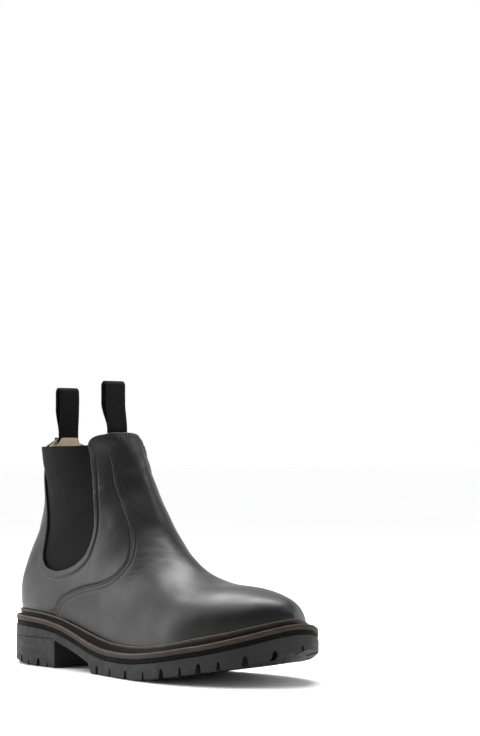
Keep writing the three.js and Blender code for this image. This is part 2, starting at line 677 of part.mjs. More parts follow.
/** The slots at these distances, on both sides or on the lateral one only. */
function slots(distances, depths, signs = [1, -1]) {
  return distances.flatMap((distance, i) => {
    const width = i % 2 === 0 ? WIDE_SLOT : NARROW_SLOT;
    return signs.map((sign) => slot(sign * distance, width, depths[i % 2]));
  });
}

/** A straight groove across the middle of the tread. */
function crossGroove([x, half]) {
  const y = span(treadEdge, x).reduce((a, b) => a + b) / 2;
  const box = new THREE.BoxGeometry(CROSS_GROOVE, half * 2, LUG_DEPTH);
  return solid(box.translate(x, y, tread(x, y) + LUG_DEPTH * 0.2));
}

/** A plate with slots and grooves cut out of it. */
function cut(geometry, cutters) {
  return geometryOf(cutters.reduce((body, cutter) => body.subtract(cutter), solid(geometry)));
}

function outsoleGeometry() {
  const steps = [HEEL_LENGTH, HEEL_LENGTH + 0.2, ...ARCH_FRONT];
  const body = plate(edgePoints(0, EDGE_STEPS), outsoleTop, outsoleBottom, { rows: 26, columns: 3, at: steps });
  const lugs = [...slots(FOREPART_SLOTS, FOREPART_SLOT_DEPTHS), ...slots(TOE_SLOTS, TOE_SLOT_DEPTHS, [1])];
  return cut(body, [...lugs, ...FOREPART_GROOVES.map(crossGroove)]);
}

function heelGeometry() {
  const body = plate(edgePoints(0, EDGE_STEPS), () => HEEL_SEAT, tread, { to: HEEL_LENGTH, rows: 16, columns: 3 });
  return cut(body, [...slots(HEEL_SLOTS, HEEL_SLOT_DEPTHS), ...HEEL_GROOVES.map(crossGroove)]);
}

/** The steel shank: a narrow strip bent along the waist. */
function shankGeometry() {
  const { from, to, half, thickness } = SHANK;
  const stops = range(9).map((i) => mix(from, to, i / 8));
  const grid = (rise) => stops.map((x) => [-half, half].map((y) => vector(x, y, weltTop(x) + rise)));
  return solidBetween(grid(0), grid(-thickness));
}

// ---- The assembly ---------------------------------------------------------------------------------

const material = (color, roughness, metalness = 0) => new THREE.MeshStandardMaterial({ color, roughness, metalness });
const leather = material('#26262a', 0.42);
const elastic = material('#1b1b1d', 0.9);
const webbing = material('#1a1a1c', 0.85);
const lining = material('#b6a58c', 0.85);
const stiffener = material('#8c8478', 0.8);
const board = material('#a98c66', 0.8);
const cork = material('#9a6b41', 0.95);
const steel = material('#8d9298', 0.35, 1);
const weltRubber = material('#5a534c', 0.6);
const rubber = material('#2f3134', 0.7);
const thread = material('#3a3733', 0.7);

const boot = new THREE.Group();

function add(name, geometry, look) {
  const mesh = new THREE.Mesh(geometry, look);
  mesh.name = name;
  boot.add(mesh);
  return mesh;
}

function addTab(name, centre, top, lean) {
  const { origin, basis } = tabFrame(centre, top);
  const loop = add(`${name}_pull_tab`, loopGeometry(lean), webbing);
  loop.position.copy(origin);
  loop.quaternion.setFromRotationMatrix(basis);
  add(`${name}_tab_sewn_end`, panel(sewnPatch(centre, top + 0.2), TAB_SEWN), webbing);
}

add('vamp', panel(vampGrid, LEATHER), leather);
add('vamp_lining', panel(vampGrid, LINING), lining);
add('toe_puff', panel(vampGrid.slice(1, TOE_PUFF_ROWS + 1), STIFFENER), stiffener);
add('back_strip', panel(backStripGrid(), LEATHER), leather);
add('heel_counter', panel(heelWrap(COUNTER), STIFFENER), stiffener);
add('heel_grip_lining', panel(heelWrap(GRIP), HEEL_GRIP), lining);
[['lateral', -1], ['medial', 1]].forEach(([name, side]) => {
  const grid = quarterGrid(side, 9);
  add(`${name}_quarter`, panel(grid, LEATHER), leather);
  add(`${name}_quarter_lining`, panel(grid, LINING), lining);
  add(`${name}_gore`, panel(goreGrid(side, 15, 14), STIFFENER), elastic);
});
addTab('front', 1, FRONT_PEAK, 5);
addTab('back', 0, BACK_PEAK, -1.5);

const insoleBottom = (x) => weltTop(x) + GAP;
const insoleTop = (x) => insoleBottom(x) + INSOLE_THICKNESS;
const bedBottom = (x) => insoleTop(x) + GAP;
const bed = inset(upperOutline(0), -LINING[1] + FOOTBED_CLEARANCE);
add('footbed', plate(bed, (x) => bedBottom(x) + FOOTBED_THICKNESS, bedBottom), lining);
add('insole_board', plate(bed, insoleTop, insoleBottom), board);
add('shank', shankGeometry(), steel);
const corkEdge = edgePoints(WELT_WIDTH + CORK_CLEARANCE, EDGE_STEPS);
add('cork_filler', plate(corkEdge, (x) => weltTop(x) - CORK_RECESS, weltBottom), cork);
add('welt', weltGeometry(), weltRubber);
add('welt_thread', threadRing(), thread);
add('midsole', plate(edgePoints(MIDSOLE_RECESS, EDGE_STEPS), midsoleTop, midsoleBottom), rubber);
add('outsole', outsoleGeometry(), rubber);
add('heel_block', heelGeometry(), rubber);

boot.updateMatrixWorld(true);
const bounds = new THREE.Box3().setFromObject(boot);
const centre = bounds.getCenter(vector(0, 0, 0));
boot.position.set(-centre.x, -centre.y, -bounds.min.z);

export default boot;
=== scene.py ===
"""Looks of the chelsea boot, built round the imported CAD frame.

Shapes are worked out in the boot's own millimetres, as in the CAD source: x from the heel's back (0) to
the toe, y from the lateral side (-) to the medial side (+), z up from the floor. to_frame() gives metres.
"""

import math

import bmesh
import bpy
import numpy as np
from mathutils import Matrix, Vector, noise
from mathutils.kdtree import KDTree


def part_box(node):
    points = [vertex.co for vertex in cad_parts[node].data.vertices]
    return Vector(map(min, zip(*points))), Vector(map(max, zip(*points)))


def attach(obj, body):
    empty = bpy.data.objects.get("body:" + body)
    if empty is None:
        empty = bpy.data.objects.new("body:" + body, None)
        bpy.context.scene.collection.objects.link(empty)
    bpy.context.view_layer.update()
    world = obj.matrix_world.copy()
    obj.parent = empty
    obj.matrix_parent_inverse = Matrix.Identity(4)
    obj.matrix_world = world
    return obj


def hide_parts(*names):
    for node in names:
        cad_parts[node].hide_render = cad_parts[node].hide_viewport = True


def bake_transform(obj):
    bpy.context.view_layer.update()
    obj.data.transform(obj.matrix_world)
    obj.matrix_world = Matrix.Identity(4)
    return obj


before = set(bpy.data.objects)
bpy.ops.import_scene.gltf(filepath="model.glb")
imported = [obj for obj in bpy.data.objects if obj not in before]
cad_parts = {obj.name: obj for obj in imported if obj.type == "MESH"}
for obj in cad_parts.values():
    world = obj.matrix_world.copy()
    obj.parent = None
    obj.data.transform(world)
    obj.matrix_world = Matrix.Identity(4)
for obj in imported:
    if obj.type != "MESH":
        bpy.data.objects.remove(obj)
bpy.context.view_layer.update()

# ---- Driving dimensions, in millimetres ----

# Heights along the boot, as [x, z].
WELT_TOP = [[0, 37.7], [40, 37.2], [62, 35.8], [84, 32.6], [104, 27.7], [124, 22.9], [145, 19.6],
            [165, 18.5], [195, 19], [228, 22.6], [250, 26.4], [264, 29], [279, 33], [292, 37.4], [305, 43.6]]
TREAD = [[-5, 4.6], [12, 2.6], [25, 1.3], [38, 0.4], [45, 0], [182, 0], [200, 1.7], [225, 4.9], [253, 9.4],
         [275, 12.9], [287, 16.3], [307, 24.4]]
TREAD_SLANT = 0.22
WELT_THICKNESS = 4
GAP = 0.4
MIDSOLE_THICKNESS = 2.6
MIDSOLE_RECESS = 0.6
HEEL_LENGTH = 79
HEEL_SEAT = 22
ARCH_FRONT = [129, 134]
ARCH_RISE = [21, 7.5]
LIP_HEIGHT = [[90, 4.2], [115, 4.9], [225, 4.9], [262, 6.4], [285, 6.6], [303, 7.8]]
LIP_THICKNESS = 1.3
LIP_GAP = 0.5

LUG_DEPTH = 7
LUG_REACH = 15
WIDE_SLOT = 5
NARROW_SLOT = 3
HEEL_SLOTS = [27, 40, 53, 65, 78, 90]
FOREPART_SLOTS = [165, 186, 210, 233, 253, 270, 285, 300, 319]
TOE_SLOTS = [340, 362]
HEEL_SLOT_DEPTHS = [6.2, 3.6]
FOREPART_SLOT_DEPTHS = [6.8, 6.4]
TOE_SLOT_DEPTHS = [4.6, 4]
CROSS_GROOVE = 4
HEEL_GROOVES = [[38, 18], [60, 18]]
FOREPART_GROOVES = [[152, 19], [172, 21], [192, 23], [212, 23], [232, 21], [252, 19]]

# The outsole's edge in plan, along the lateral side and back along the medial one.
SOLE_EDGE = [[0, 0], [9, -24], [33, -36.5], [72, -38.5], [108, -40.5], [150, -48], [195, -55.3],
             [232, -55.5], [266, -45], [291, -25], [304.5, 2], [303, 22], [291, 39], [268, 51],
             [232, 56], [192, 51], [150, 43], [112, 39.5], [72, 38], [33, 36], [9, 24]]

# The upper's stations from the toe to the collar:
# [low x, low z, high x, high z, lateral half-width, medial half-width, low y, high y, low angle, roundness
# over the widest point, roundness under it]
STATIONS = np.array([
    [293, 42, 293.5, 49, 0.2, 0.2, 13, 13, 0, 1, 1],
    [287, 38, 285.5, 56.5, 20, 16, 13, 12.5, 0, 0.87, 0.9],
    [276.5, 34, 273, 61.5, 34, 29.5, 11, 11, -4, 0.83, 0.85],
    [257, 28.8, 250, 66.5, 44, 40.5, 7, 8.5, -8, 0.85, 0.85],
    [228, 23.2, 221, 69, 48, 44.5, 2, 4.5, -10, 0.88, 0.88],
    [195, 19.5, 197, 77, 45, 42, 0, 2, -12, 0.95, 0.95],
    [160, 19.2, 176, 91, 40, 38, -1, 2, -18, 1, 1],
    [124, 23.7, 159, 108, 36.5, 36, -1, 2, -26, 1, 1],
    [84, 33.1, 147, 126, 36.5, 35, 0, 2, -31, 1, 0.95],
    [43, 38, 140, 137, 37.5, 35.5, 1, 2.5, -37, 1, 0.87],
    [16, 38.8, 135.5, 145, 38, 35, 1.5, 2.5, -55, 1, 0.8],
    [7, 38.8, 133, 149, 38, 34.5, 1.5, 2.5, -75, 1, 0.76],
    [5, 40, 131, 152, 37.5, 34.5, 1.5, 2.5, -90, 1, 0.75],
    [4.5, 52, 129.5, 155, 37, 35, 2.3, 2.5, -90, 1, 0.75],
    [7.5, 68, 127.5, 159, 35.5, 35.5, 3, 2, -90, 1, 0.88],
    [18, 90, 125, 163, 34, 35.5, 3, 1, -90, 1, 1],
    [27, 120, 122.5, 168, 34, 36, 3.5, 0, -90, 1, 1],
    [30, 150, 120, 173, 38.5, 36, 4, -2, -90, 1, 1],
    [30, 176, 116.5, 179, 41, 36.5, 4.5, -4, -90, 1, 1],
])
HALF_WIDTHS = [4, 5]
TOE_STATION = 0.004
FOOT_RIDGE = 4.7
HEEL_STATION = 12
WAIST_STATION = 6
LAST_STATION = len(STATIONS) - 1

# Seams in side view, [x, z].
VAMP_SEAM = [[72, 39], [75, 46], [82, 52.5], [94, 57.5], [112, 62.5], [133, 66.5], [147.5, 72.5],
             [154.5, 81], [154, 89.5], [150, 100], [144, 111], [134.5, 124], [124, 142], [117, 162],
             [113.5, 176]]
GORE_BACK = [[36, 168], [38.5, 155], [43, 142], [50, 129], [57, 118], [61, 108], [61.5, 98], [60, 89],
             [60.5, 81]]
GORE_FOOT = [[60.5, 81], [65, 75.5], [76, 73]]
GORE_FRONT = [[76, 73], [89, 75], [101.5, 79.5], [111, 86.5], [115, 95], [116, 104], [114.5, 114],
              [111.5, 127], [107.5, 142], [105.5, 156], [106.5, 172]]
GORE_TOP = 168
SHOULDER = [106, 165]
GORE_MARGIN = 5
BACK_STRIP_HALF = 9
BACK_PEAK = 174.5
FRONT_PEAK = 178

LEATHER = 1.6
LINING_DEPTH = 3.4
LINING = 0.8
ELASTIC_DEPTH = 2.0
ELASTIC = 1.1
UNDERLAP = 3.5  # how far a panel reaches under its neighbour
STITCH_PITCH = 2.9
THREAD_RADIUS = 0.27
LAP_RISE = 0.95  # of the vamp's leather where it laps over the quarters
STRIP_RISE = 0.85
SEAM_ROWS = (1.6, 4.6)  # of stitches, from the vamp's edge
COLLAR_ROW = 3.0
GORE_ROW = 4.75
LINING_ROW = 2.6
STRIP_ROW = 1.9
LINING_DROP = 1.3  # of the lining's top edge under the collar's

TAB_WIDTH = 18
TAB_HEIGHT = 37
WEBBING = 1.3
TAB_GAP = 5
TAB_SEWN_LENGTH = 17
TAB_HINGE_RISE = 2
TAB_DEPTH = 6.5  # of the webbing's middle under the collar's skin
FRONT_LEAN = 5
BACK_LEAN = -1.5
FACING = 0.6
FACING_MARGIN = 3
SEWN_FOLLOW = 0.65  # how much of the lining's slope a flat sewn end can follow
RIB_PITCH = 1.3  # of the webbing

UP = np.array([0.0, 0.0, 1.0])

# ---- Curves and small helpers ----


def mix(a, b, t):
    return a + (b - a) * t


def smoothstep(low, high, value):
    t = np.clip((value - low) / (high - low), 0, 1)
    return t * t * (3 - 2 * t)


def bump(value, centre, width):
    """A smooth hump of height 1 at centre."""
    return np.exp(-(((value - centre) / width) ** 2))


def unit(vectors):
    return vectors / np.maximum(np.linalg.norm(vectors, axis=-1, keepdims=True), 1e-9)


def along(points):
    """The arc length at each point of a polyline."""
    steps = np.linalg.norm(np.diff(points, axis=0), axis=1)
    return np.concatenate([[0], np.cumsum(steps)])


def interpolated(places, lengths, rows):
    return np.stack([np.interp(places, lengths, column) for column in rows.T], axis=-1)


def resample(points, places):
    """The points of a polyline at these arc lengths."""
    points = np.asarray(points, float)
    return interpolated(places, along(points), points)


def smooth(points, count, closed=False):
    """Points spread evenly along a centripetal Catmull-Rom curve."""
    knots = np.asarray(points, float)
    if closed:
        knots = np.vstack([knots[-1], knots, knots[:2]])
    else:
        knots = np.vstack([2 * knots[0] - knots[1], knots, 2 * knots[-1] - knots[-2]])
    fine = []
    for p0, p1, p2, p3 in zip(knots, knots[1:], knots[2:], knots[3:]):
        d1, d2, d3 = (max(np.linalg.norm(b - a), 1e-4) ** 0.5 for a, b in ((p0, p1), (p1, p2), (p2, p3)))
        m1 = ((p1 - p0) / d1 - (p2 - p0) / (d1 + d2) + (p2 - p1) / d2) * d2
        m2 = ((p2 - p1) / d2 - (p3 - p1) / (d2 + d3) + (p3 - p2) / d3) * d2
        t = np.linspace(0, 1, 40, endpoint=False)[:, None]
        a, b = 2 * (p1 - p2) + m1 + m2, 3 * (p2 - p1) - 2 * m1 - m2
        fine.append(p1 + t * (m1 + t * (b + t * a)))
    fine.append(knots[-2][None])
    fine = np.vstack(fine)
    total = along(fine)[-1]
    return resample(fine, np.linspace(0, total, count, endpoint=not closed))


def height(table, x):
    """The value at x of a smooth curve through [x, value] points, flat beyond its ends."""
    xs, values = np.array(table, float).T
    slopes = np.empty_like(values)
    slopes[1:-1] = (values[2:] - values[:-2]) / (xs[2:] - xs[:-2])
    slopes[0] = (values[1] - values[0]) / (xs[1] - xs[0])
    slopes[-1] = (values[-1] - values[-2]) / (xs[-1] - xs[-2])
    at = np.clip(x, xs[0], xs[-1])
    i = np.clip(np.searchsorted(xs, at) - 1, 0, len(xs) - 2)
    span = xs[i + 1] - xs[i]
    u = (at - xs[i]) / span
    return (values[i] * (2 * u**3 - 3 * u**2 + 1) + values[i + 1] * (3 * u**2 - 2 * u**3)
            + span * (slopes[i] * (u**3 - 2 * u**2 + u) + slopes[i + 1] * (u**3 - u**2)))


def welt_top(x):
    return height(WELT_TOP, x)


def tread(x, y):
    return np.maximum(0, height(TREAD, x + TREAD_SLANT * y))


def leftwards(way):
    way = unit(way)
    return np.stack([-way[..., 1], way[..., 0]], axis=-1)


def shifted(curve, distance):
    """A curve moved sideways by a distance, positive to the left of its direction."""
    curve = np.asarray(curve, float)
    way = np.vstack([curve[1:], curve[-1]]) - np.vstack([curve[0], curve[:-1]])
    return curve + distance * leftwards(way)


def spread(length, starts, ends, step):
    """Places from 0 to length: close ones near each end, then an even step between them."""
    first = [0, *starts]
    last = [length - e for e in reversed([0, *ends])]
    middle = np.linspace(first[-1], last[0], max(3, int((last[0] - first[-1]) / step)))
    return np.concatenate([first[:-1], middle, last[1:]])


EDGE_STEPS = [0.1, 0.3, 0.6, 0.95, 1.3, 1.7, 2.1, 2.5, 3, 3.5, 4, 4.5, 5, 5.6, 6.4]


def fractal(points, size, seed, octaves=2):
    """Smooth noise from -1 to 1 at points, with features of a size in millimetres."""
    flat = points.reshape(-1, 3) / size + seed * 17.3
    values = [noise.fractal(Vector(p), 0.7, 2.0, octaves, noise_basis="PERLIN_ORIGINAL") for p in flat]
    return np.array(values).reshape(points.shape[:-1])


# ---- The upper's skin, as in the CAD source ----


def station(s):
    """The station values at fractional station numbers, along the last axis."""
    s = np.asarray(s, float)
    i = np.clip(np.floor(s).astype(int), 0, LAST_STATION - 1)
    u = (s - i)[..., None]
    p1, p2 = STATIONS[i], STATIONS[i + 1]
    mirrored = p2.copy()
    mirrored[..., HALF_WIDTHS] *= -1
    p0 = np.where((i > 0)[..., None], STATIONS[np.maximum(i - 1, 0)], mirrored)
    p3 = np.where((i + 2 <= LAST_STATION)[..., None], STATIONS[np.minimum(i + 2, LAST_STATION)], 2 * p2 - p1)
    return p1 + 0.5 * u * (p2 - p0 + u * (2 * p0 - 5 * p1 + 4 * p2 - p3 + u * (3 * (p1 - p2) + p3 - p0)))


def power(value, exponent):
    return np.sign(value) * np.abs(value) ** exponent


def skin(s, p, side):
    """Points of the outer skin: station s, p from 0 (low) to 1 (ridge), side -1 lateral or +1 medial."""
    s, p, side = np.broadcast_arrays(np.asarray(s, float), np.asarray(p, float), np.asarray(side, float))
    lx, lz, hx, hz, lateral, medial, ly, hy, low, upper, under = np.moveaxis(station(s), -1, 0)
    start = np.radians(np.clip(low, -90, 0))
    angle = mix(start, np.pi / 2, p)
    roundness = np.where(angle < 0, under, upper)
    foot = power(np.sin(start), under)
    q = (power(np.sin(angle), roundness) - foot) / (1 - foot)
    width = np.abs(np.cos(angle)) ** roundness * np.where(side < 0, lateral, medial)
    return np.stack([mix(lx, hx, q), mix(ly, hy, q) + side * width, mix(lz, hz, q)], axis=-1)


def outward(s, p, side):
    """The skin's outward direction. On the ridge and the back line it is the mean of both sides."""
    def one_side(at_side):
        step = 0.01
        s0, s1 = np.clip(s - step, 0, LAST_STATION), np.clip(s + step, 0, LAST_STATION)
        p0, p1 = np.clip(p - step, 0, 1), np.clip(p + step, 0, 1)
        along_s = skin(s1, p, at_side) - skin(s0, p, at_side)
        along_p = skin(s, p1, at_side) - skin(s, p0, at_side)
        return unit(np.cross(along_s, along_p) * at_side[..., None])

    s, p, side = np.broadcast_arrays(np.asarray(s, float), np.asarray(p, float), np.asarray(side, float))
    on_line = (p > 0.9995) | ((p < 0.0005) & (s >= HEEL_STATION))
    return unit(one_side(side) + np.where(on_line[..., None], one_side(-side), 0))


def bisect(low, high, test):
    """Where a test turns from false to true, for arrays of bounds."""
    low, high = np.array(low, float), np.array(high, float)
    for _ in range(40):
        middle = (low + high) / 2
        yes = test(middle)
        high = np.where(yes, middle, high)
        low = np.where(yes, low, middle)
    return (low + high) / 2


def locate(places):
    """The [s, p] whose side views are at [x, z] places."""
    x, z = np.moveaxis(np.asarray(places, float), -1, 0)

    def across(s):
        lx, lz, hx, hz = np.moveaxis(station(s), -1, 0)[:4]
        return (hx - lx) * (z - lz) - (hz - lz) * (x - lx)

    top = across(np.full_like(x, LAST_STATION)) > 0
    s = bisect(np.full_like(x, 0.002), np.full_like(x, LAST_STATION), lambda at: (across(at) > 0) == top)
    lx, lz, hx, hz, _, _, _, _, low, upper, under = np.moveaxis(station(s), -1, 0)
    q = np.clip(((x - lx) * (hx - lx) + (z - lz) * (hz - lz)) / ((hx - lx) ** 2 + (hz - lz) ** 2), 0, 1)
    start = np.radians(np.clip(low, -90, 0))
    rise = mix(power(np.sin(start), under), 1, q)
    sine = np.clip(power(rise, 1 / np.where(rise < 0, under, upper)), -1, 1)
    return np.stack([s, np.clip((np.arcsin(sine) - start) / (np.pi / 2 - start), 0, 1)], axis=-1)


def side_view(s, p):
    return skin(s, p, -1)[..., [0, 2]]


def station_at(p, z):
    """The station where a line of the skin at fixed p reaches a height."""
    return float(bisect(WAIST_STATION, LAST_STATION, lambda s: skin(s, p, -1)[..., 2] >= z))


def strip_edge(s):
    """The p at which the skin is half the back strip's width from the back line."""
    values = station(s)
    return (90 - np.degrees(np.arccos((BACK_STRIP_HALF / values[..., 4]) ** (1 / values[..., -1])))) / 180


SEAM_FOOT = float(locate(VAMP_SEAM[0])[0])
STRIP_FOOT = float(bisect(HEEL_STATION - 2, HEEL_STATION,
                          lambda s: skin(s, 0, -1)[..., 1] > station(s)[..., 6] - BACK_STRIP_HALF))

# ---- Meshes ----

SOLE_OUTLINE = smooth(SOLE_EDGE, 720, closed=True)
SOLE_LOOP = np.vstack([SOLE_OUTLINE, SOLE_OUTLINE[:1]])
SOLE_LOW, SOLE_HIGH = (np.array(Vector(corner) * 1000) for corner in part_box("outsole"))
SHIFT = (SOLE_LOW + SOLE_HIGH - [*SOLE_OUTLINE.min(axis=0), 0] - [*SOLE_OUTLINE.max(axis=0), 0]) / 2
SHIFT[2] = SOLE_LOW[2]


def to_frame(points):
    """Boot millimetres to the frame's metres."""
    return (np.asarray(points, float) + SHIFT) / 1000


def placed(name, data):
    """A new object in the scene."""
    obj = bpy.data.objects.new(name, data)
    bpy.context.scene.collection.objects.link(obj)
    return obj


def mesh_object(name, points, faces, material, body="boot", uv=None, merge=True):
    """A smooth-shaded object from boot millimetres. uv holds one pair of numbers for each vertex."""
    mesh = bpy.data.meshes.new(name)
    mesh.from_pydata(to_frame(points).tolist(), [], faces)
    mesh.materials.append(material)
    if uv is not None:
        layer = mesh.uv_layers.new(name="surface")
        corners = np.empty(len(mesh.loops), np.int32)
        mesh.loops.foreach_get("vertex_index", corners)
        layer.data.foreach_set("uv", np.asarray(uv, np.float32)[corners].ravel())
    made = bmesh.new()
    made.from_mesh(mesh)
    if merge:
        bmesh.ops.remove_doubles(made, verts=made.verts, dist=1e-7)
    bmesh.ops.recalc_face_normals(made, faces=made.faces)
    made.to_mesh(mesh)
    made.free()
    mesh.shade_smooth()
    obj = placed(name, mesh)
    if body:
        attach(obj, body)
    return obj


def quads(rows, columns, start=0, wrap=False):
    """The quads of a grid of vertices numbered row by row from start."""
    last = columns if wrap else columns - 1
    i, j = np.meshgrid(np.arange(rows - 1), np.arange(last), indexing="ij")
    k = (j + 1) % columns
    return start + np.stack([i * columns + j, i * columns + k, (i + 1) * columns + k, (i + 1) * columns + j],
                            axis=-1).reshape(-1, 4)


def capped(faces, rings, sides):
    """The faces of a tube of rings, with a flat cap at each end."""
    return faces.tolist() + [list(range(sides))[::-1], list(range((rings - 1) * sides, rings * sides))]


def shell(name, outer, inner, material, uv=None):
    """The closed shell between two equal grids of points."""
    rows, columns = outer.shape[:2]
    count = rows * columns
    border = np.concatenate([
        np.arange(columns), np.arange(1, rows) * columns + columns - 1,
        (rows - 1) * columns + np.arange(columns - 2, -1, -1), np.arange(rows - 2, 0, -1) * columns,
    ])
    following = np.roll(border, -1)
    rim = np.stack([border, following, following + count, border + count], axis=-1)
    faces = np.vstack([quads(rows, columns), quads(rows, columns, count)[:, ::-1], rim]).tolist()
    points = np.vstack([outer.reshape(-1, 3), inner.reshape(-1, 3)])
    flat = None if uv is None else np.vstack([uv.reshape(-1, 2)] * 2)
    return mesh_object(name, points, faces, material, uv=flat)


def tube(name, rings, material, body="boot", closed=False, uv=None):
    """A skin over rings of points. Its ends are closed by flat caps unless the tube is a loop."""
    steps, sides = rings.shape[:2]
    if closed:
        faces = (quads(steps + 1, sides, wrap=True) % (steps * sides)).tolist()
    else:
        faces = capped(quads(steps, sides, wrap=True), steps, sides)
    return mesh_object(name, rings.reshape(-1, 3), faces, material, body, uv)


class Panel:
    """A grid on the skin. It knows how far each of its points is from its own edges."""

    def __init__(self, s, p, side):
        self.skin = skin(s, p, side)
        self.normal = outward(s, p, side)

    def distance(self, line):
        """(distance, place along the line) of every grid point from a line of points."""
        fine = resample(line, np.arange(0, along(line)[-1], 0.25))
        tree = KDTree(len(fine))
        for i, point in enumerate(fine):
            tree.insert(point, i)
        tree.balance()
        found = [tree.find(point) for point in self.skin.reshape(-1, 3)]
        shape = self.skin.shape[:2]
        far = np.array([f[2] for f in found]).reshape(shape)
        place = np.array([f[1] * 0.25 for f in found]).reshape(shape)
        return far, place

    def nearest(self, *lines):
        """How far every grid point is from the nearest of some lines."""
        return np.minimum.reduce([self.distance(line)[0] for line in lines])

    def surface(self, rise):
        return self.skin + self.normal * rise[..., None]


def rolled(distance, thickness, radius=1.1):
    """How far a rounded edge falls below the face beside it."""
    inside = 1 - np.clip(distance / radius, 0, 1)
    return -thickness / 2 * (1 - np.sqrt(np.maximum(0, 1 - inside**2)))


def seam_relief(distance, place, rows, depth=0.32):
    """Stitch rows press the leather down between small puckers."""
    relief = np.zeros_like(distance)
    for row in rows:
        relief -= depth * bump(distance, row, 0.55)
    middle = sum(rows) / len(rows)
    pucker = np.cos(2 * np.pi * place / STITCH_PITCH)
    relief += 0.07 * pucker * bump(distance, middle, 2.2)
    return relief


def stitches(name, line, normals, material, pitch=STITCH_PITCH, length=2.2, radius=THREAD_RADIUS):
    """A row of thread stitches along a line on a surface, each dipping into the leather at its ends."""
    lengths = along(line)
    count = int(lengths[-1] / pitch)
    centres = (np.arange(count) + 0.5) * lengths[-1] / count
    fractions = np.array([-0.5, -0.46, -0.36, -0.18, 0, 0.18, 0.36, 0.46, 0.5])
    girth = np.array([0.25, 0.6, 0.9, 1, 1, 1, 0.9, 0.6, 0.25]) * radius
    sink = np.array([-0.5, -0.3, -0.05, 0.1, 0.15, 0.1, -0.05, -0.3, -0.5]) * radius * 1.6
    places = centres[:, None] + fractions * length
    spots = interpolated(places, lengths, line)
    up = unit(interpolated(places, lengths, normals))
    across = np.cross(unit(np.gradient(spots, axis=1)), up)
    sides = 8
    turn = 2 * np.pi * np.arange(sides) / sides
    ring = (np.cos(turn)[:, None] * across[:, :, None] + np.sin(turn)[:, None] * up[:, :, None])
    points = spots[:, :, None] + ring * girth[:, None, None] + (up * sink[:, None])[:, :, None]
    rings = len(fractions)
    one = capped(quads(rings, sides, wrap=True), rings, sides)
    faces = [[v + k * rings * sides for v in face] for k in range(count) for face in one]
    return mesh_object(name, points.reshape(-1, 3), faces, material, merge=False)


def contour(points, normals, distance, target, edge="start"):
    """(points, normals) of the line at a distance from one edge of a grid: start, end, first or last."""
    if edge in ("first", "last"):
        points, normals = points.swapaxes(0, 1), normals.swapaxes(0, 1)
        distance = distance.T
    if edge in ("end", "last"):
        points, normals, distance = points[:, ::-1], normals[:, ::-1], distance[:, ::-1]
    beyond = distance > target
    kept = beyond.any(axis=1) & ~beyond[:, 0]
    j = np.argmax(beyond, axis=1)[kept]
    i = np.arange(len(points))[kept]
    near, far = distance[i, j - 1], distance[i, j]
    t = ((target - near) / (far - near))[:, None]
    return mix(points[i, j - 1], points[i, j], t), mix(normals[i, j - 1], normals[i, j], t)


def respaced(s, p, side, starts, ends, count):
    """Rows of dense skin places, re-spaced: close columns near the ends of each row, even ones between."""
    points = skin(s, p, side)
    lengths = np.array([along(row) for row in points])
    starts, ends = np.array([0, *starts]), np.array([0, *ends])
    made = []
    for row, total in enumerate(lengths[:, -1]):
        scale = min(1, total / max(1.5 * (starts[-1] + ends[-1]), 1e-9))
        first, last = starts * scale, total - ends[::-1] * scale
        places = np.concatenate([first[:-1], np.linspace(first[-1], last[0], count), last[1:]])
        made.append([np.interp(places, lengths[row], s[row]), np.interp(places, lengths[row], p[row])])
    return np.array(made).swapaxes(0, 1)


# ---- Materials ----


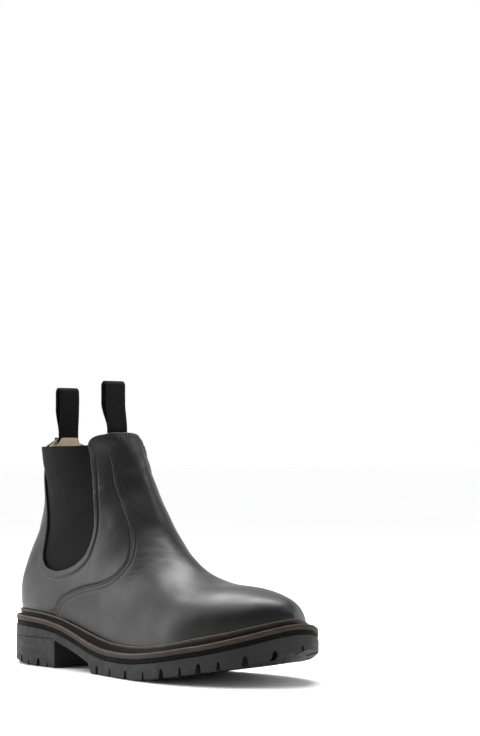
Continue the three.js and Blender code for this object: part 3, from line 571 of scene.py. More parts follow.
class Nodes:
    """A material's node tree, with short calls for the nodes that several materials use."""

    def __init__(self, name, roughness=0.5, specular=0.5, **constants):
        self.material = bpy.data.materials.new(name)
        self.material.use_nodes = True
        self.tree = self.material.node_tree
        self.shader = self.tree.nodes["Principled BSDF"]
        self.shader.inputs["Roughness"].default_value = roughness
        self.shader.inputs["Specular IOR Level"].default_value = specular
        for key, value in constants.items():
            self.shader.inputs[key.replace("_", " ")].default_value = value
        self.place = self.tree.nodes.new("ShaderNodeTexCoord").outputs["Object"]
        self.relief = None

    def node(self, kind, **settings):
        made = self.tree.nodes.new("ShaderNode" + kind)
        for key, value in settings.items():
            setattr(made, key, value)
        return made

    def link(self, source, target):
        self.tree.links.new(source, target)

    def scaled(self, factors):
        """The object's coordinates with each axis multiplied."""
        mapping = self.node("Mapping")
        mapping.inputs["Scale"].default_value = factors
        self.link(self.place, mapping.inputs["Vector"])
        return mapping.outputs["Vector"]

    def noise(self, scale, detail=3.0, roughness=0.5, vector=None):
        made = self.node("TexNoise")
        made.inputs["Scale"].default_value = scale
        made.inputs["Detail"].default_value = detail
        made.inputs["Roughness"].default_value = roughness
        self.link(vector or self.place, made.inputs["Vector"])
        return made.outputs["Fac"]

    def cells(self, scale):
        made = self.node("TexVoronoi", feature="SMOOTH_F1")
        made.inputs["Scale"].default_value = scale
        self.link(self.place, made.inputs["Vector"])
        return made.outputs["Distance"]

    def math(self, operation, a, b=0.0):
        made = self.node("Math", operation=operation)
        for socket, value in zip(made.inputs, (a, b)):
            if isinstance(value, (int, float)):
                socket.default_value = value
            else:
                self.link(value, socket)
        return made.outputs[0]

    def surface_axis(self, axis):
        """One axis of the mesh's own surface coordinates, in millimetres."""
        uv = self.node("UVMap", uv_map="surface")
        split = self.node("SeparateXYZ")
        self.link(uv.outputs["UV"], split.inputs[0])
        return split.outputs[axis]

    def wave(self, value, pitch):
        """A sine from 0 to 1 along a value, with a pitch in the value's units."""
        turn = self.math("SINE", self.math("MULTIPLY", value, 2 * math.pi / pitch))
        return self.math("MULTIPLY_ADD", turn, 0.5)

    def ramp(self, value, *stops):
        """A colour or a number that follows a value: stops are (place, colour) or (place, number)."""
        made = self.node("ValToRGB")
        elements = made.color_ramp.elements
        while len(elements) < len(stops):
            elements.new(0.5)
        for element, (place, shade) in zip(elements, stops):
            element.position = place
            element.color = (shade,) * 3 + (1,) if isinstance(shade, (int, float)) else (*shade, 1)
        self.link(value, made.inputs["Fac"])
        return made.outputs["Color"]

    def colour(self, socket):
        self.link(socket, self.shader.inputs["Base Color"])

    def rough(self, socket):
        self.link(socket, self.shader.inputs["Roughness"])

    def add_relief(self, value, depth_mm, strength=1.0):
        made = self.node("Bump")
        made.inputs["Distance"].default_value = depth_mm / 1000
        made.inputs["Strength"].default_value = strength
        self.link(value, made.inputs["Height"])
        if self.relief is not None:
            self.link(self.relief, made.inputs["Normal"])
        self.relief = made.outputs["Normal"]
        self.link(self.relief, self.shader.inputs["Normal"])


def leather_material():
    """Smooth, lightly finished calf: fine pores, faint creases and an uneven polish."""
    made = Nodes("leather", specular=0.24, Coat_Weight=0.1, Coat_Roughness=0.3)
    cloud = made.noise(38, detail=4)
    made.colour(made.ramp(cloud, (0.3, (0.0052, 0.005, 0.0047)), (0.75, (0.0088, 0.0085, 0.0079))))
    polish = made.noise(60, detail=5, roughness=0.6)
    made.rough(made.ramp(polish, (0.3, 0.31), (0.72, 0.46)))
    made.add_relief(made.cells(1150), 0.05, 0.5)
    made.add_relief(made.noise(420, detail=4, roughness=0.6), 0.09, 0.5)
    made.add_relief(made.noise(95, detail=3), 0.22, 0.5)
    return made.material


def elastic_material():
    """Woven gore: fine ribs that run up the boot, crossed by finer threads, with painted shade in the valleys
    between the ribs.
    """
    made = Nodes("elastic", roughness=0.9, specular=0.12, Sheen_Weight=0.02, Sheen_Roughness=0.5)
    ribs = made.wave(made.surface_axis(0), 1.15)
    threads = made.wave(made.surface_axis(1), 0.55)
    fuzz = made.noise(900, detail=2)
    # Colour: painted shade in the rib valleys, times a random tone from the fuzz.
    made.colour(made.ramp(made.math("MULTIPLY", ribs, fuzz), (0.05, (0.0035, 0.0035, 0.0035)),
                          (0.6, (0.0095, 0.0093, 0.009))))
    made.rough(made.ramp(fuzz, (0.3, 0.82), (0.7, 0.97)))
    made.add_relief(ribs, 0.22, 0.8)
    made.add_relief(threads, 0.08, 0.6)
    made.add_relief(fuzz, 0.06, 0.5)
    return made.material


def webbing_material():
    """Grosgrain tape: the ribs are in the mesh, and the warp threads between them are here, with painted shade
    between the threads.
    """
    made = Nodes("webbing", roughness=0.85, specular=0.12, Sheen_Weight=0.03, Sheen_Roughness=0.45)
    warp = made.wave(made.surface_axis(0), 0.62)
    fuzz = made.noise(1300, detail=2)
    # Colour: painted shade between the warp threads, times a random tone from the fuzz.
    made.colour(made.ramp(made.math("MULTIPLY", warp, fuzz), (0.08, (0.003, 0.003, 0.0028)),
                          (0.6, (0.0075, 0.0073, 0.0069))))
    made.rough(made.ramp(fuzz, (0.3, 0.75), (0.7, 0.95)))
    made.add_relief(warp, 0.09, 0.7)
    made.add_relief(fuzz, 0.05, 0.5)
    return made.material


def lining_material():
    """Undyed lining leather: beige, matte, a little blotched."""
    made = Nodes("lining", roughness=0.75, specular=0.3)
    blotch = made.noise(70, detail=5, roughness=0.6)
    made.colour(made.ramp(blotch, (0.28, (0.45, 0.36, 0.26)), (0.5, (0.6, 0.5, 0.375)),
                          (0.75, (0.7, 0.6, 0.47))))
    made.rough(made.ramp(made.noise(300), (0.3, 0.65), (0.7, 0.88)))
    made.add_relief(made.cells(1500), 0.06, 0.6)
    made.add_relief(made.noise(260, detail=4), 0.12, 0.5)
    return made.material


def rubber_material(name, dark, light, specular):
    """Moulded rubber: a fine matt skin, faint scuffs and a little bloom."""
    made = Nodes(name, specular=specular)
    bloom = made.noise(55, detail=6, roughness=0.65)
    made.colour(made.ramp(bloom, (0.3, dark), (0.72, light)))
    made.rough(made.ramp(made.noise(240, detail=5), (0.3, 0.5), (0.7, 0.72)))
    made.add_relief(made.noise(1700, detail=2), 0.05, 0.6)
    scuffs = made.noise(130, detail=4, vector=made.scaled((1, 1, 5)))
    made.add_relief(scuffs, 0.1, 0.45)
    return made.material


def welt_material():
    """Brown-grey welt, burnished along its length, with painted highlights on the band's rim and the lip's top
    and painted shade in its groove.
    """
    made = Nodes("welt", specular=0.07)
    streaks = made.noise(60, detail=6, roughness=0.65, vector=made.scaled((1, 1, 9)))
    inwards = made.surface_axis(0)
    # Painted light across the welt's section: painted highlights on the band's rim and the lip's top, painted
    # shade on the wall, in the groove and down the lip's face.
    painted_light_and_shade = made.ramp(inwards, (0.0, 0.25), (0.16, 0.31), (0.24, 1.0), (0.31, 0.6), (0.36, 0.14),
                      (0.44, 0.03), (0.64, 0.015), (0.72, 0.03), (0.82, 0.15), (0.9, 0.5), (0.94, 1.0),
                      (0.99, 0.5))
    tone = made.ramp(streaks, (0.3, (0.075, 0.058, 0.048)), (0.7, (0.17, 0.142, 0.122)))
    shade = made.node("Mix", data_type="RGBA", blend_type="MULTIPLY")
    shade.inputs["Factor"].default_value = 1
    made.link(tone, shade.inputs["A"])
    made.link(painted_light_and_shade, shade.inputs["B"])
    made.colour(shade.outputs["Result"])
    made.rough(made.ramp(streaks, (0.3, 0.4), (0.7, 0.58)))
    made.add_relief(streaks, 0.12, 0.5)
    made.add_relief(made.noise(900, detail=3), 0.05, 0.5)
    return made.material


def thread_material(name, shade, specular=0.4):
    """Waxed thread, twisted from strands."""
    made = Nodes(name, roughness=0.6, specular=specular)
    strand = made.noise(1500, detail=3)
    dim = tuple(0.55 * part for part in shade)
    made.colour(made.ramp(strand, (0.3, dim), (0.7, shade)))
    made.rough(made.ramp(strand, (0.3, 0.5), (0.7, 0.75)))
    made.add_relief(strand, 0.08, 0.8)
    return made.material


def grained_material(name, dark, light, scale, roughness, metallic=0.0, stretch=(1, 1, 1)):
    """A plain inner material: board, cork, stiffener or rolled steel."""
    made = Nodes(name, specular=0.4, Metallic=metallic)
    grain = made.noise(scale, detail=6, roughness=0.7, vector=made.scaled(stretch))
    made.colour(made.ramp(grain, (0.3, dark), (0.7, light)))
    made.rough(made.ramp(grain, (0.3, roughness - 0.1), (0.7, roughness + 0.08)))
    made.add_relief(grain, 0.2, 0.6)
    return made.material


LEATHER_LOOK = leather_material()
ELASTIC_LOOK = elastic_material()
WEBBING_LOOK = webbing_material()
LINING_LOOK = lining_material()
WELT_LOOK = welt_material()
SOLE_LOOK = rubber_material("sole_rubber", (0.0105, 0.0107, 0.0108), (0.02, 0.0202, 0.0202), 0.2)
MIDSOLE_LOOK = rubber_material("midsole_rubber", (0.0028, 0.0026, 0.0024), (0.0052, 0.0048, 0.0045), 0.04)
BLACK_THREAD = thread_material("black_thread", (0.014, 0.0138, 0.0135))
WELT_THREAD = thread_material("welt_thread", (0.013, 0.01, 0.008), 0.12)
BEIGE_THREAD = thread_material("beige_thread", (0.4, 0.33, 0.25))

INNER_LOOKS = {
    "toe_puff": grained_material("puff", (0.2, 0.18, 0.15), (0.3, 0.27, 0.23), 240, 0.75),
    "heel_counter": grained_material("counter", (0.22, 0.17, 0.12), (0.32, 0.26, 0.19), 240, 0.75),
    "insole_board": grained_material("board", (0.3, 0.21, 0.13), (0.42, 0.31, 0.2), 330, 0.8),
    "cork_filler": grained_material("cork", (0.15, 0.07, 0.03), (0.45, 0.26, 0.13), 420, 0.88),
    "shank": grained_material("steel", (0.3, 0.31, 0.32), (0.55, 0.56, 0.58), 300, 0.35, 1.0, (0.1, 6, 1)),
}

# ---- The upper ----


def stitch_row(name, points, normals, distance, target, edge="start", look=BLACK_THREAD):
    """A row of stitches on a panel, at a distance from one of its edges."""
    stitches(name, *contour(points, normals, distance, target, edge), look)


def leather_piece(name, panel, lift, relief, *edges, thickness=LEATHER):
    """(outer face, leather) of a panel: relief is on its face only, and its edges are rounded."""
    round_off = sum(rolled(edge, LEATHER) for edge in edges)
    outer = panel.surface(lift + round_off + relief)
    return outer, shell(name, outer, panel.surface(lift - thickness - round_off), LEATHER_LOOK)


def wrinkles(points, seed):
    """Fine flex creases across the instep, where the boot bends over the ball and the ankle."""
    x, y, z = np.moveaxis(points, -1, 0)
    warp = fractal(points, 26, seed) * 3.2 + fractal(points, 9, seed + 1) * 0.8
    fine_zone = bump(x, 158, 26) * bump(z, 84, 20)
    ankle_zone = bump(x, 138, 17) * bump(z, 118, 18)
    across = z + 0.1 * x + warp
    patches = 0.5 + 0.5 * fractal(points, 14, seed + 2)
    creases = np.abs(np.sin(np.pi * across / 3.6)) ** 0.6 - 0.6
    folds = np.abs(np.sin(np.pi * (across + 1.2 * warp) / 7.7)) ** 0.7 - 0.6
    return fine_zone * patches * 0.26 * creases + (fine_zone * 0.5 + ankle_zone) * 0.2 * folds


def slouch(points, seed, amount):
    """Slow unevenness of lasted leather, weaker at the stiff toe and heel."""
    x, _, z = np.moveaxis(points, -1, 0)
    soft = smoothstep(55, 95, z) * 0.8 + 0.2
    return amount * soft * (fractal(points, 42, seed) + 0.45 * fractal(points, 19, seed + 3))


def vamp_panel(feather_rows, seam_step, edge_steps, count):
    """Rows from the lateral edge over the ridge to the medial one, along the sole and then up the seam."""
    t = np.arange(feather_rows) / feather_rows
    feather = side_view(mix(TOE_STATION, SEAM_FOOT, t), 0)
    seam = smooth(VAMP_SEAM, 300)
    length = along(seam)[-1]
    seam_places = spread(length, [], EDGE_STEPS, seam_step)
    ridge_at = [[0, FOOT_RIDGE], [0.25, 5], [0.42, 5.4], [0.55, 6.2], [0.68, 8], [0.8, 11], [0.9, 15.4],
                [1, station_at(1, FRONT_PEAK)]]
    edge = np.vstack([feather, resample(seam, seam_places)])
    ridge = np.concatenate([mix(TOE_STATION, FOOT_RIDGE, t**1.1), height(ridge_at, seam_places / length)])
    upwards = np.sin(np.pi / 2 * np.linspace(0, 1, 60))[None, :, None]
    s, p = np.moveaxis(locate(mix(edge[:, None], side_view(ridge, 1)[:, None], upwards)), -1, 0)
    s[:, -1], p[:, -1] = ridge, 1
    half_s, half_p = respaced(s, p, -1, edge_steps, [], count)
    s = np.hstack([half_s, half_s[:, -2::-1]])
    p = np.hstack([half_p, half_p[:, -2::-1]])
    side = np.ones_like(s)
    side[:, :half_s.shape[1]] = -1
    panel = Panel(s, p, side)
    panel.skin[0, :, 1] = panel.skin[0, :, 1].mean()
    panel.normal[0] = unit(panel.normal[0] + panel.normal[0, ::-1])
    return panel


def make_lining(name, panel, top, stitched, edge):
    """The lining behind a panel: it rises to meet the leather at the collar, and is stitched there."""
    depth = -mix(LEATHER + 0.1, LINING_DEPTH, smoothstep(0, 9, top))
    round_off = rolled(top, LINING, 0.6)
    drop = LINING_DROP * (1 - smoothstep(0, 18, top))[..., None] * UP
    inside = panel.surface(depth - LINING - round_off) - drop
    lining = shell(name, panel.surface(depth + round_off) - drop, inside, LINING_LOOK)
    stitch_row(f"{name}_stitching", inside, -panel.normal, stitched, LINING_ROW, edge, BEIGE_THREAD)
    return lining


def make_vamp():
    feather_rows = 110
    panel = vamp_panel(feather_rows, 1.6, EDGE_STEPS, 58)
    seam_rows = slice(feather_rows, None)
    lateral, place_l = panel.distance(panel.skin[seam_rows, 0])
    medial, place_m = panel.distance(panel.skin[seam_rows, -1])
    seam = np.minimum(lateral, medial)
    place = np.where(lateral < medial, place_l, place_m)
    top, top_place = panel.distance(panel.skin[-1])
    relief = seam_relief(seam, place, SEAM_ROWS) + seam_relief(top, top_place, [COLLAR_ROW], 0.25)
    relief += wrinkles(panel.skin, 3) * smoothstep(4, 9, seam) * smoothstep(3, 12, top)
    relief += slouch(panel.skin, 8, 0.5) * smoothstep(0, 12, seam)
    outer, vamp = leather_piece("vamp", panel, LAP_RISE * (1 - smoothstep(3, 20, seam)), relief, seam, top)
    for name, distance, side_edge in (("lateral", lateral, "start"), ("medial", medial, "end")):
        for row, target in enumerate(SEAM_ROWS, 1):
            stitch_row(f"vamp_{name}_stitching_{row}", outer[seam_rows], panel.normal[seam_rows],
                       distance[seam_rows], target, side_edge)
    stitch_row("vamp_collar_stitching", outer, panel.normal, top, COLLAR_ROW, "last")
    panel = vamp_panel(60, 3, [], 30)
    top = panel.nearest(panel.skin[-1])
    return vamp, make_lining("vamp_lining", panel, top, top, "last")


def quarter_edges(underlap, back_count, foot_count, seam_count):
    """Inner and outer edges of a quarter as [s, p] rows: down the back, along the foot, up the seam."""
    near_collar = np.array([0, 0.1, 0.3, 0.6, 1.0, 1.5, 2.1, 2.8, 3.6]) / 100
    back, front = (np.concatenate([near_collar, np.linspace(0.046, 1, n)]) for n in (back_count, seam_count))
    front = 1 - front[::-1]
    foot = np.linspace(0, 1, foot_count)[1:-1]
    parts = []
    for curve, places in ((GORE_BACK, back), (GORE_FOOT, foot), ([*GORE_FRONT[:-1], SHOULDER], front)):
        fine = smooth(curve, 300)
        parts.append(resample(fine, places * along(fine)[-1]))
    inner = locate(np.vstack(parts))
    top = station_at(float(strip_edge(LAST_STATION)), BACK_PEAK)
    back_s = mix(top, HEEL_STATION + 0.05, back)
    foot_s = mix(STRIP_FOOT, SEAM_FOOT, foot)
    seam = shifted(smooth(VAMP_SEAM, 300), -underlap)
    outer = np.vstack([
        np.stack([back_s, strip_edge(back_s) * (1 - underlap / BACK_STRIP_HALF)], axis=1),
        np.stack([foot_s, np.zeros_like(foot_s)], axis=1),
        locate(resample(seam, front * along(seam)[-1])),
    ])
    return inner, outer, len(back), len(front)


def quarter_panel(side, underlap, counts, gore_steps, hidden_steps, count):
    """(panel, the rows down its back, the rows up the vamp's seam)"""
    inner_edge, outer_edge, back_count, seam_count = quarter_edges(underlap, *counts)
    t = np.linspace(0, 1, 50)
    s = mix(inner_edge[:, :1], outer_edge[:, :1], t)
    p = np.clip(mix(inner_edge[:, 1:], outer_edge[:, 1:], t), 0, 1)
    # Near the collar, the rows up the vamp's seam turn into the rounded shoulder.
    low, high = side_view(*inner_edge[-seam_count:, None].T), side_view(*outer_edge[-seam_count:, None].T)
    turn = np.pi / 2 * t[None, :, None]
    swing = np.concatenate([1 - np.cos(turn), np.sin(turn)], axis=-1)
    shoulder = locate(mix(low.swapaxes(0, 1), high.swapaxes(0, 1), swing))
    blend = smoothstep(0.8, 1, np.linspace(0, 1, seam_count))[:, None]
    s[-seam_count:] = mix(s[-seam_count:], shoulder[..., 0], blend)
    p[-seam_count:] = mix(p[-seam_count:], shoulder[..., 1], blend)
    panel = Panel(*respaced(s, p, side, gore_steps, hidden_steps, count), side)
    return panel, slice(0, back_count), slice(len(s) - seam_count, None)


def make_quarter(name, side):
    gore_steps = [0.1, 0.3, 0.6, 0.9, 1.3, 1.9, 2.6, 3.2, 3.7, 4.1, 4.5, 4.9, 5.3, 5.8, 6.5, 7.4]
    hidden_steps = [1.2, 2.4, 3.2, 3.7, 4.3, 5.1, 6]
    panel, back_rows, seam_rows = quarter_panel(side, UNDERLAP, (64, 34, 96), gore_steps, hidden_steps, 34)
    gore, gore_place = panel.distance(panel.skin[:, 0])
    top = panel.nearest(panel.skin[0], panel.skin[-1])
    hidden = panel.nearest(panel.skin[back_rows, -1], panel.skin[seam_rows, -1])
    under = 1 - smoothstep(UNDERLAP - 0.5, UNDERLAP + 1.6, hidden)
    band = mix(5.6, 4.3, smoothstep(74, 98, panel.skin[..., 2]))
    across = gore * 4.7 / band
    relief = 0.4 * (1 - smoothstep(3.6, 5.0, across)) - 0.5 * bump(across, GORE_ROW, 0.62)
    relief += 0.06 * np.cos(2 * np.pi * gore_place / STITCH_PITCH) * bump(across, 3.4, 1.6)
    relief += seam_relief(top, gore_place * 0, [2.8], 0.22) * smoothstep(5, 8, gore)
    relief += slouch(panel.skin, 21 + side, 0.55) * smoothstep(5, 14, gore) * (1 - under)
    relief += 0.5 * wrinkles(panel.skin, 5) * smoothstep(5, 9, gore) * (1 - under)
    outer, quarter = leather_piece(f"{name}_quarter", panel, -LAP_RISE * under, relief, gore, top)
    stitch_row(f"{name}_gore_stitching", outer, panel.normal, across, GORE_ROW)
    panel, _, _ = quarter_panel(side, 0, (34, 20, 50), [0.6, 1.3, 2.6], [], 16)
    gore, top = panel.nearest(panel.skin[:, 0]), panel.nearest(panel.skin[0], panel.skin[-1])
    return quarter, make_lining(f"{name}_quarter_lining", panel, top, gore, "start")


def make_back_strip():
    top = station_at(0, BACK_PEAK)
    length = along(skin(np.linspace(top, HEEL_STATION, 200), 0, -1))[-1]
    s = mix(top, HEEL_STATION + 0.02, spread(length, EDGE_STEPS, [], 1.8) / length)[:, None]
    t = spread(2 * BACK_STRIP_HALF, EDGE_STEPS[:9], EDGE_STEPS[:9], 0.9) / BACK_STRIP_HALF - 1
    panel = Panel(np.broadcast_to(s, (len(s), len(t))), np.abs(t) * strip_edge(s), np.where(t < 0, -1, 1))
    lateral, place = panel.distance(panel.skin[:, 0])
    medial, top_edge = panel.nearest(panel.skin[:, -1]), panel.nearest(panel.skin[0])
    edge = np.minimum(lateral, medial)
    relief = seam_relief(edge, place, [STRIP_ROW], 0.28) + slouch(panel.skin, 31, 0.3)
    outer, strip = leather_piece("back_strip", panel, STRIP_RISE, relief, edge, top_edge,
                                 thickness=LEATHER * 0.9)
    stitch_row("back_strip_stitching_1", outer, panel.normal, lateral, STRIP_ROW)
    stitch_row("back_strip_stitching_2", outer, panel.normal, medial, STRIP_ROW, "end")
    return strip


def make_gore(name, side):
    rows = np.concatenate([[0, 0.001, 0.003, 0.006, 0.01], np.linspace(0.02, 1, 80)])
    edges = []
    for curve, shift in (([*GORE_BACK, *GORE_FOOT[1:]], -GORE_MARGIN), (GORE_FRONT[::-1][:-1], GORE_MARGIN)):
        line = shifted(smooth(curve, 300), shift)
        line = line[line[:, 1] < GORE_TOP - 0.3]
        edges.append(resample(line, rows * along(line)[-1]))
    behind, ahead = edges
    t = np.linspace(0, 1, 90)[None, :, None]
    places = mix(behind[:, None], ahead[:, None], mix(t, (1 - np.cos(np.pi * t)) / 2, 0.4))
    s, p = np.moveaxis(locate(places), -1, 0)
    panel = Panel(s, p, side)
    top_edge = panel.nearest(panel.skin[0])
    across = np.array([along(row) for row in panel.skin[..., :2]])
    middle = np.array([np.interp(80, row_x, row_u) for row_x, row_u in zip(panel.skin[..., 0], across)])
    uv = np.stack([across - middle[:, None], panel.skin[..., 2]], axis=-1)
    margin = panel.nearest(panel.skin[:, 0], panel.skin[:, -1])
    puff = 0.35 * fractal(panel.skin * [1, 1, 0.35], 17, 41 + side) + 0.3 * fractal(panel.skin, 50, 44)
    bulge = (0.6 * puff + 1.9 * smoothstep(110, 160, panel.skin[..., 2])) * smoothstep(5, 22, margin)
    rise = -ELASTIC_DEPTH + rolled(top_edge, ELASTIC, 0.8) + bulge
    inside = -ELASTIC_DEPTH - ELASTIC - rolled(top_edge, ELASTIC, 0.8) + bulge
    return shell(f"{name}_gore", panel.surface(rise), panel.surface(inside), ELASTIC_LOOK, uv)


def make_heel_grip():
    """The soft patch sewn inside the heel."""
    foot, peak, reach = 46, 66, 50
    half = np.linspace(0, 1, 40)
    turn = 1 - np.cos(np.pi / 2 * half)
    low, high = station_at(0, foot), station_at(0, peak)
    t = np.linspace(0, 1, 24)
    rows_s, rows_p = [], []
    for k in turn:
        s0, p0 = locate([mix(skin(low, 0, -1)[0], reach, k), foot])
        s1, p1 = locate([mix(skin(high, 0, -1)[0], reach, k), peak - 9 * k])
        rows_s.append(mix(s0, s1, t))
        rows_p.append(mix(p0, p1, t) * (k > 0))
    s, p = np.array(rows_s), np.array(rows_p)
    side = np.repeat([-1, 1], [len(s), len(s) - 1])[:, None] * np.ones(len(t))
    panel = Panel(np.vstack([s[::-1], s[1:]]), np.vstack([p[::-1], p[1:]]), side)
    edge = panel.nearest(panel.skin[0], panel.skin[-1], panel.skin[:, 0], panel.skin[:, -1])
    depth = -(LINING_DEPTH + LINING + 0.15)
    outer = panel.surface(depth + 0 * edge)
    inner = panel.surface(depth - 0.7 - 0.3 * smoothstep(0, 2, edge) + 0.25 * bump(edge, 2, 0.5))
    grip = shell("heel_grip_lining", outer, inner, LINING_LOOK)
    stitch_row("heel_grip_stitching", inner, -panel.normal, edge, 2.0, "end", BEIGE_THREAD)
    return grip


# ---- The pull tabs ----


def tab_place(centre, top):
    """(hinge point, outward, along the collar) of a pull tab."""
    s = station_at(centre, top)
    out = unit(outward(s, centre, -1) * [1, 1, 0])
    origin = skin(s, centre, -1) - TAB_DEPTH * out
    origin[2] = top + TAB_HINGE_RISE
    return origin, out, np.cross(out, UP)


def sewn_shift(centre, top, level):
    """How far outwards a sewn end is at levels under its hinge, as the lining slopes away there."""
    heights = top + TAB_HINGE_RISE + np.minimum(level, -TAB_HINGE_RISE)
    low, high = np.full_like(heights, WAIST_STATION), np.full_like(heights, LAST_STATION)
    s = bisect(low, high, lambda at: skin(at, centre, -1)[..., 2] >= heights)
    collar = skin(station_at(centre, top), centre, -1)
    return SEWN_FOLLOW * (skin(s, centre, -1) - collar) @ tab_place(centre, top)[1]


def make_facing(name, centre, top):
    """Lining leather sewn over a tab's sewn end and pressed down round the webbing."""
    origin, out, width = tab_place(centre, top)
    side = TAB_WIDTH / 2 + FACING_MARGIN
    foot = -TAB_HINGE_RISE - TAB_SEWN_LENGTH
    across = np.linspace(-side, side, 90)[:, None]
    high = -TAB_HINGE_RISE - 0.2 - 6.8 * smoothstep(7, side, np.abs(across))
    level = mix(foot - FACING_MARGIN, high, np.linspace(0, 1, 80)[None])
    beyond = np.maximum(np.abs(across) - TAB_WIDTH / 2, foot - level)
    shift = sewn_shift(centre, top, level)
    press = mix(3.5 + 0.5 * shift, 1.4, (across / side) ** 2)
    press *= smoothstep(-0.4, FACING_MARGIN - 0.6, beyond)
    depth = press - WEBBING - 0.1 + shift
    edge = np.minimum(side - np.abs(across), np.minimum(high - level, level - foot + FACING_MARGIN))
    place = origin + across[..., None] * width + level[..., None] * UP
    faces = []
    for rise in (depth + rolled(edge, FACING, 0.4), depth - FACING - rolled(edge, FACING, 0.4)):
        faces.append(place + rise[..., None] * out)
    facing = shell(f"{name}_tab_facing", *faces, LINING_LOOK)
    stitch_row(f"{name}_tab_facing_stitching", faces[1], np.broadcast_to(-out, faces[1].shape), edge, 1.4,
               "start", BEIGE_THREAD)
    return facing


def make_tab(name, centre, top, lean):
    """One piece of webbing: sewn inside the collar, up, over in a loop and back down to the sewn end."""
    origin, out, width = tab_place(centre, top)
    half = (TAB_GAP + WEBBING) / 2
    peak = TAB_HEIGHT - half - WEBBING / 2
    foot = -TAB_HINGE_RISE - TAB_SEWN_LENGTH
    v = np.linspace(foot, peak, 150)
    apart = WEBBING / 2 + (half - WEBBING / 2) * smoothstep(0.5, 0.55 * TAB_HEIGHT, v)
    turn = np.linspace(0, np.pi, 34)[1:-1]
    outer_leg = np.stack([apart, v], axis=1)
    crown = np.stack([half * np.cos(turn), peak + half * np.sin(turn)], axis=1)
    path = np.vstack([outer_leg, crown, (outer_leg * [-1, 1])[::-1]])
    path[:, 0] -= lean * smoothstep(0, 0.55 * TAB_HEIGHT, path[:, 1])
    path[:, 0] += sewn_shift(centre, top, path[:, 1])
    length = along(path)[-1]
    path = resample(path, np.linspace(0, length, int(length / 0.22)))
    places = along(path)
    flat = -leftwards(np.gradient(path, axis=0))

    # A flat section with rounded selvedges. Its faces carry the ribs that cross the webbing.
    turn = np.pi / 2 - np.linspace(0, np.pi, 9)
    side_w = TAB_WIDTH / 2 - WEBBING / 2
    face = np.linspace(-side_w, side_w, 25)[1:-1]
    section = np.vstack([
        np.stack([side_w + WEBBING / 2 * np.cos(turn), WEBBING / 2 * np.sin(turn)], axis=1),
        np.stack([face[::-1], np.full_like(face, -WEBBING / 2)], axis=1),
        np.stack([-side_w - WEBBING / 2 * np.cos(turn), -WEBBING / 2 * np.sin(turn)], axis=1),
        np.stack([face, np.full_like(face, WEBBING / 2)], axis=1),
    ])
    rib = np.abs(np.cos(np.pi * places / RIB_PITCH))[:, None]
    thick = section[None, :, 1] * (0.72 + 0.3 * rib)
    across = section[None, :, 0] * (1 - 0.022 + 0.022 * rib)
    sag = 0.35 * fractal(np.stack([places, 0 * places, 0 * places], axis=1), 16, 61 + int(lean))[:, None]
    height_in = path[:, None] + flat[:, None] * thick[..., None]
    height_in[..., 0] += sag * smoothstep(4, 16, path[:, 1])[:, None]
    rings = origin + height_in[..., :1] * out + height_in[..., 1:] * UP + across[..., None] * width
    uv = np.stack(np.broadcast_arrays(section[None, :, 0], places[:, None]), axis=-1).reshape(-1, 2)
    tab = tube(f"{name}_tab", rings, WEBBING_LOOK, body=None, uv=uv)
    tab.data.update()
    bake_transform(tab)
    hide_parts(f"{name}_pull_tab", f"{name}_tab_sewn_end")
    return tab


# ---- The sole ----


def inset(outline, distance):
    """A closed outline moved inwards."""
    way = np.roll(outline, -1, axis=0) - np.roll(outline, 1, axis=0)
    return outline + np.asarray(distance).reshape(-1, 1) * leftwards(way)


def upper_outline(share):
    """The upper's outline in plan at a share of the lip's height, in the sole edge's direction."""
    def lip(x):
        return welt_top(x) + share * height(LIP_HEIGHT, x)

    s = np.linspace(max(HEEL_STATION, station_at(0, float(lip(0)))), 0.05, 181)
    sides = []
    for sign in (-1, 1):
        def above(p, sign=sign):
            x, _, z = skin(s, p, sign).T
            return z >= lip(x)
        sides.append(skin(s, bisect(np.zeros_like(s), np.full_like(s, 0.5), above), sign)[:, :2])
    return np.vstack([sides[0], sides[1][:0:-1]])


def even_outline(outline, count):
    """A closed outline with evenly spaced points, from the same first point."""
    loop = np.vstack([outline, outline[:1]])
    return resample(loop, np.linspace(0, along(loop)[-1], count, endpoint=False))


def upper_insets(share):
    """How far each point of the sole's outline is from the upper at a share of the lip's height."""
    fine = even_outline(upper_outline(share), 2400)
    return np.array([np.linalg.norm(fine - point, axis=1).min() for point in SOLE_OUTLINE])


def slab(name, outline, loops, material):
    """A layer of the sole from loops of (inset, z function), top to bottom. Both faces are gridded."""
    columns = 40
    count = len(outline)
    half = count // 2
    rings = []
    for distance, level in loops:
        ring = inset(outline, distance)
        rings.append(np.column_stack([ring, level(*ring.T)]))
    points = [np.vstack(rings)]
    faces = [quads(len(rings), count, wrap=True)]
    start = len(rings) * count
    t = np.linspace(0, 1, columns)[None, :, None]
    for ring, level in ((rings[0], loops[0][1]), (rings[-1], loops[-1][1])):
        left = ring[:half + 1, :2]
        right = ring[(-np.arange(half + 1)) % count, :2]
        flat = mix(left[:, None], right[:, None], t)
        flat = np.concatenate([flat, level(flat[..., :1], flat[..., 1:])], axis=-1)
        points.append(flat.reshape(-1, 3))
        faces.append(quads(half + 1, columns, start))
        start += flat.shape[0] * columns
    return mesh_object(name, np.vstack(points), np.vstack(faces).tolist(), material)


